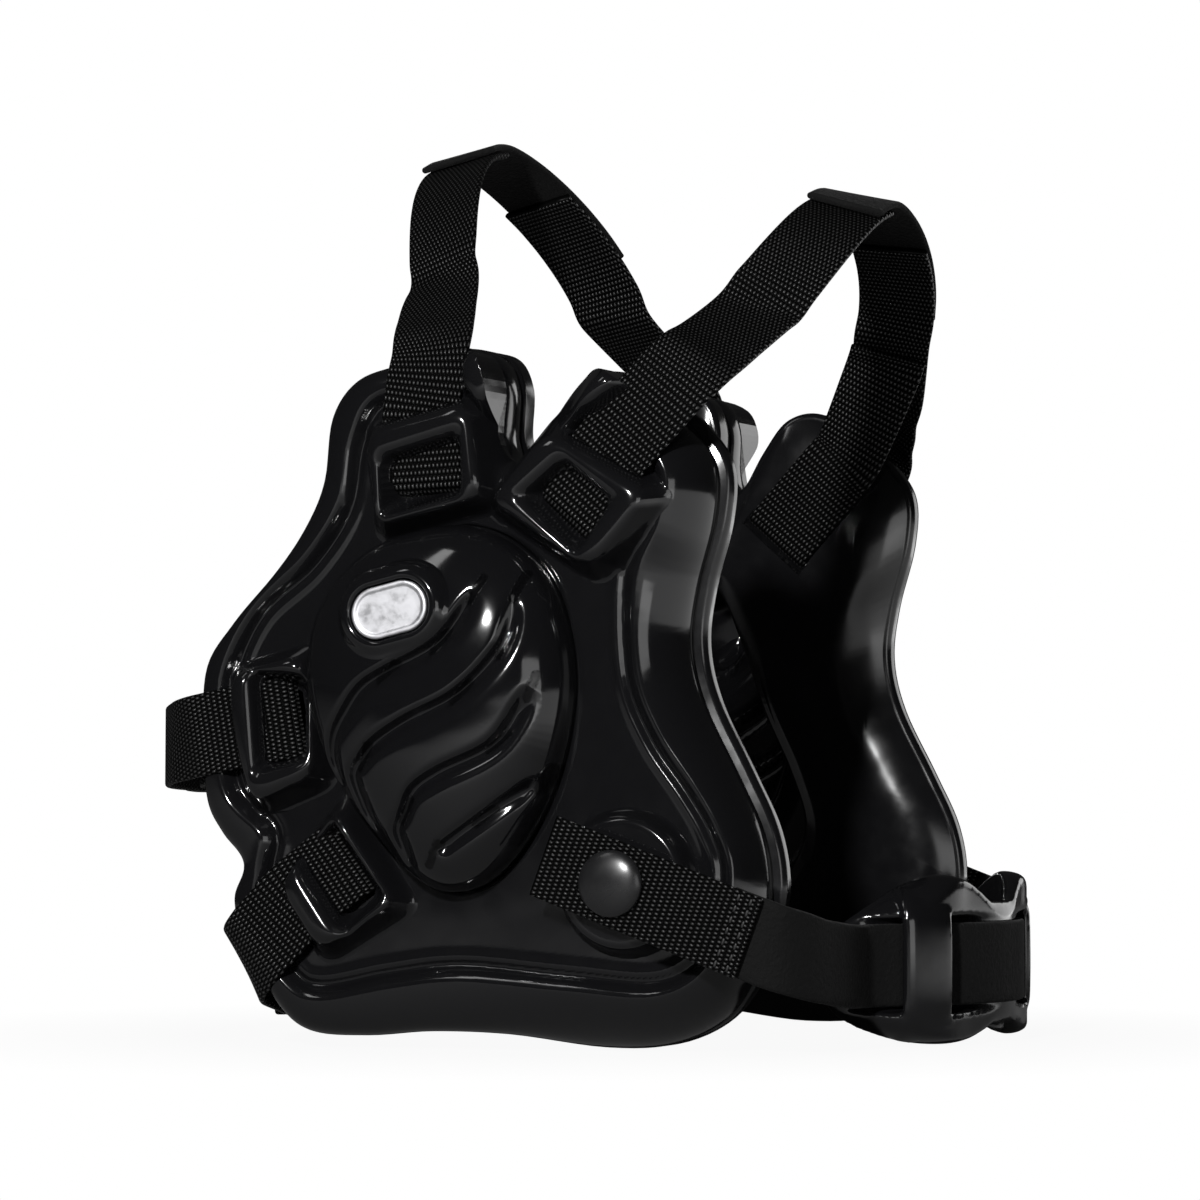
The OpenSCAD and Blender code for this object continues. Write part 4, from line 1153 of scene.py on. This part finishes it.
def chinCupPiece():
    # curved plate whose rim turns in as a quarter circle, front and back, merged with its two bars
    b = chinCup
    outside = chin["radius"] - strapShape["thick"] / 2 - b["gap"]
    inside = outside - b["wall"]
    h = b["height"]
    right = openCurve([(0, h - 6.5), (8, h - 6), (15, h - 3.2), (22, h - 0.6), (29, h), (36.5, h - 2.8),
                       (43, h - 8.5), (46.8, h - 14), (47.8, 17), (46.8, 9), (43, 4.2), (36, 1), (28, 0),
                       (20, 0.6), (13, 2.2), (7, 3.7), (0, 4)], 6)
    line = evenly(np.vstack([right, right[1:-1][::-1] * [-1, 1]]), 360)
    centre = np.array([0, 18.0])
    mid, half = (inside + outside) / 2, (outside - inside) / 2
    inward = unit(centre - line)
    far = np.linalg.norm(centre - line, axis=1)[:, None]
    insets = [b["edge"] * (1 - math.cos(math.radians(a))) for a in np.linspace(0, 90, 9)]
    front, back = [], []
    for inset in insets:
        p = line + inset * inward
        turned = math.sqrt(1 - (1 - inset / b["edge"])**2)
        front.append(onDrum(p[:, 0], p[:, 1], mid + (half + lobeSwell(p)) * turned))
        turned = math.sqrt(1 - (1 - min(inset / b["backEdge"], 1))**2)
        back.append(onDrum(p[:, 0], p[:, 1], mid - half * turned * np.ones(len(p))))
    for share in np.linspace(0, 0.98, 40)[1:]:
        p = line + (b["edge"] + share * (far - b["edge"])) * inward
        front.append(onDrum(p[:, 0], p[:, 1], mid + (half + lobeSwell(p))))
        back.append(onDrum(p[:, 0], p[:, 1], mid - half * np.ones(len(p))))
    rings = back[:0:-1] + front
    m = len(line)
    faces = gridFaces(len(rings), m, closedCols=True).tolist()
    extra = [list(range(m))[::-1], list((len(rings) - 1) * m + np.arange(m))]
    points = np.vstack(rings)
    for sign in (1, -1):
        base = len(points)
        bar, barFaces, caps = chinBar(sign)
        points = np.vstack([points, bar])
        faces += (barFaces + base).tolist()
        extra += [[base + k for k in cap] for cap in caps]
    obj = addObject("chin_cup_mould", points, faces, chinLook, extra=extra)
    outwardNormals(obj)
    mod = obj.modifiers.new("merge", "REMESH")
    mod.mode = "VOXEL"
    mod.voxel_size = b["voxel"]
    mod.use_smooth_shade = True
    mod = obj.modifiers.new("soften", "SMOOTH")
    mod.factor = 0.5
    mod.iterations = b["soften"]
    applyModifiers(obj)
    return obj


print("chin strap and cup")


def slotHoles(side, low, high):
    # blocks that cut the four strap slots, from level low to high
    return [prism("slot", side, rect(*f["slot"], -2.3, 2.3, -10.1, 10.1), low, high) for f in frames.values()]


def build():
    for side, tag in ((1, "left"), (-1, "right")):
        shell = shellPiece(side)
        outwardNormals(shell)
        cutWith(shell, slotHoles(side, 60, 100))
        parts = stationPieces(side)
        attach(shell, "harness")
        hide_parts(f"{tag}_guard_shell")
        for p in parts:
            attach(p, "harness")
        pad = padPiece(side)
        cutWith(pad, slotHoles(side, 58, 80))
        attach(pad, "harness")
        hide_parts(f"{tag}_inner_pad")
        cup = cupPiece(side)
        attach(cup, "harness")
        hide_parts(f"{tag}_ear_cup")
        ring = badgeRing(side)
        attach(ring, "harness")
        plate = badgePiece(side)
        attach(plate, "harness")
        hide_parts(f"{tag}_badge")
        cap = capPiece(side)
        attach(cap, "chin_strap")
        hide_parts(f"{tag}_snap_cap")
        print("guard", tag)
    replaced = {"tab": "web", "band": "pile"}
    for name, obj in strapPieces().items():
        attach(obj, "harness")
        kind = name.rsplit("_", 1)[1]
        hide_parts(name[:-len(kind)] + replaced[kind])
    for name, obj in chinPieces().items():
        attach(obj, "chin_strap")
        kind = name.rsplit("_", 1)[1]
        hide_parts(name[:-len(kind)] + replaced[kind])
    sewn = stitches()
    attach(sewn, "chin_strap")
    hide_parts("chin_stitching")
    mould = chinCupPiece()
    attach(mould, "chin_cup")
    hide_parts("chin_cup")
    for name, obj in frame["nodes"].items():
        if name.rsplit("_", 1)[1] in ("post", "stud", "socket"):
            obj.data.materials.clear()
            obj.data.materials.append(snapMetal)


build()

print("floor, light and camera")

floorLook = {"half": 3.0, "level": -0.0005, "grey": 0.3, "near": 0.1, "far": 0.2, "white": 0.94,
             "mirrorFrom": -0.2, "mirrorTo": -0.4}


def stageFloor():
    # near the object it is nearly white to the camera and keeps some shadow, and it fades into the backdrop
    b = floorLook
    mesh = bpy.data.meshes.new("floor")
    r, z = b["half"], b["level"]
    mesh.from_pydata([(-r, -r, z), (r, -r, z), (r, r, z), (-r, r, z)], [], [(0, 1, 2, 3)])
    mat, tree, shader = material("floor")
    shader.inputs["Base Color"].default_value = (b["grey"], b["grey"], b["grey"], 1)
    shader.inputs["Roughness"].default_value = 0.9
    path = tree.nodes.new("ShaderNodeLightPath")
    coord = tree.nodes.new("ShaderNodeTexCoord")
    far = tree.nodes.new("ShaderNodeVectorMath")
    far.operation = "LENGTH"
    tree.links.new(coord.outputs["Object"], far.inputs[0])
    share = mapRange(tree, far.outputs["Value"], b["near"], b["far"], b["white"], 1.0)
    white = tree.nodes.new("ShaderNodeEmission")
    white.inputs["Strength"].default_value = 1.0
    mix = tree.nodes.new("ShaderNodeMixShader")
    seen = mathNode(tree, "MULTIPLY", path.outputs["Is Camera Ray"], share)
    # reflections show it bright in front of the object and dark under and behind it
    split = tree.nodes.new("ShaderNodeSeparateXYZ")
    tree.links.new(coord.outputs["Object"], split.inputs[0])
    ahead = mapRange(tree, split.outputs["Y"], b["mirrorFrom"], b["mirrorTo"], 0, 1)
    reflected = mathNode(tree, "MULTIPLY", path.outputs["Is Glossy Ray"], ahead)
    tree.links.new(mathNode(tree, "ADD", seen, reflected), mix.inputs["Fac"])
    tree.links.new(shader.outputs[0], mix.inputs[1])
    tree.links.new(white.outputs[0], mix.inputs[2])
    tree.links.new(mix.outputs[0], tree.nodes["Material Output"].inputs["Surface"])
    mesh.materials.append(mat)
    obj = bpy.data.objects.new("floor", mesh)
    bpy.context.scene.collection.objects.link(obj)
    return obj


stageFloor()

scene = bpy.context.scene
scene.view_settings.view_transform = "Standard"


def studioWorld():
    # white to the camera, and a faint even light on the object
    w = bpy.data.worlds.new("studio")
    scene.world = w
    w.use_nodes = True
    tree = w.node_tree
    tree.nodes.clear()
    path = tree.nodes.new("ShaderNodeLightPath")
    seen = tree.nodes.new("ShaderNodeBackground")
    seen.inputs["Strength"].default_value = 1.0
    seen.inputs["Color"].default_value = (1, 1, 1, 1)
    fill = tree.nodes.new("ShaderNodeBackground")
    fill.inputs["Strength"].default_value = 0.02
    fill.inputs["Color"].default_value = (1, 1, 1, 1)
    mix = tree.nodes.new("ShaderNodeMixShader")
    out = tree.nodes.new("ShaderNodeOutputWorld")
    tree.links.new(path.outputs["Is Camera Ray"], mix.inputs["Fac"])
    tree.links.new(fill.outputs[0], mix.inputs[1])
    tree.links.new(seen.outputs[0], mix.inputs[2])
    tree.links.new(mix.outputs[0], out.inputs["Surface"])


studioWorld()


def turnedTo(x, y, z, place):
    # matrix of an object whose own axes are x, y and z, at place
    return Matrix([[x[k], y[k], z[k], place[k]] for k in range(3)] + [[0, 0, 0, 1]])


# key near the viewer, rim light from the far front, a soft light overhead behind the near guard,
# and a small one that makes the sharp highlights
lampAim = (0, 0, 0.1)
lamps = {
    "key": {"place": (-0.62, -0.62, 0.12), "size": (0.36, 0.24), "watts": 0.6},
    "rim": {"place": (1.1, -0.42, 0.12), "size": (0.5, 0.6), "watts": 1.3},
    "top": {"place": (-0.55, 0.33, 0.78), "size": (0.12, 0.35), "watts": 0.6},
    "spot": {"place": (-1.0, -0.1, 0.45), "size": (0.06, 0.06), "watts": 12},
}


def softbox(name):
    b = lamps[name]
    light = bpy.data.lights.new(name, "AREA")
    light.shape = "RECTANGLE"
    light.size, light.size_y = b["size"]
    light.energy = b["watts"]
    obj = bpy.data.objects.new(name, light)
    place = np.array(b["place"], float)
    z = unit(place - np.array(lampAim, float))
    x = unit(np.cross([0, 0, 1], z))
    obj.matrix_world = turnedTo(x, np.cross(z, x), z, place)
    scene.collection.objects.link(obj)


for lampName in lamps:
    softbox(lampName)

view = {"place": (-1.16606, -0.4371, 0.0601), "turn": 20.8, "tilt": 2.05, "lens": 153.99, "sensor": 36}


def camera():
    data = bpy.data.cameras.new("camera")
    data.sensor_width = view["sensor"]
    data.lens = view["lens"]
    obj = bpy.data.objects.new("camera", data)
    turn, tilt = math.radians(view["turn"]), math.radians(view["tilt"])
    ahead = np.array([math.cos(turn) * math.cos(tilt), math.sin(turn) * math.cos(tilt), math.sin(tilt)])
    right = np.array([math.sin(turn), -math.cos(turn), 0])
    obj.matrix_world = turnedTo(right, np.cross(right, ahead), -ahead, view["place"])
    scene.collection.objects.link(obj)
    scene.camera = obj


camera()
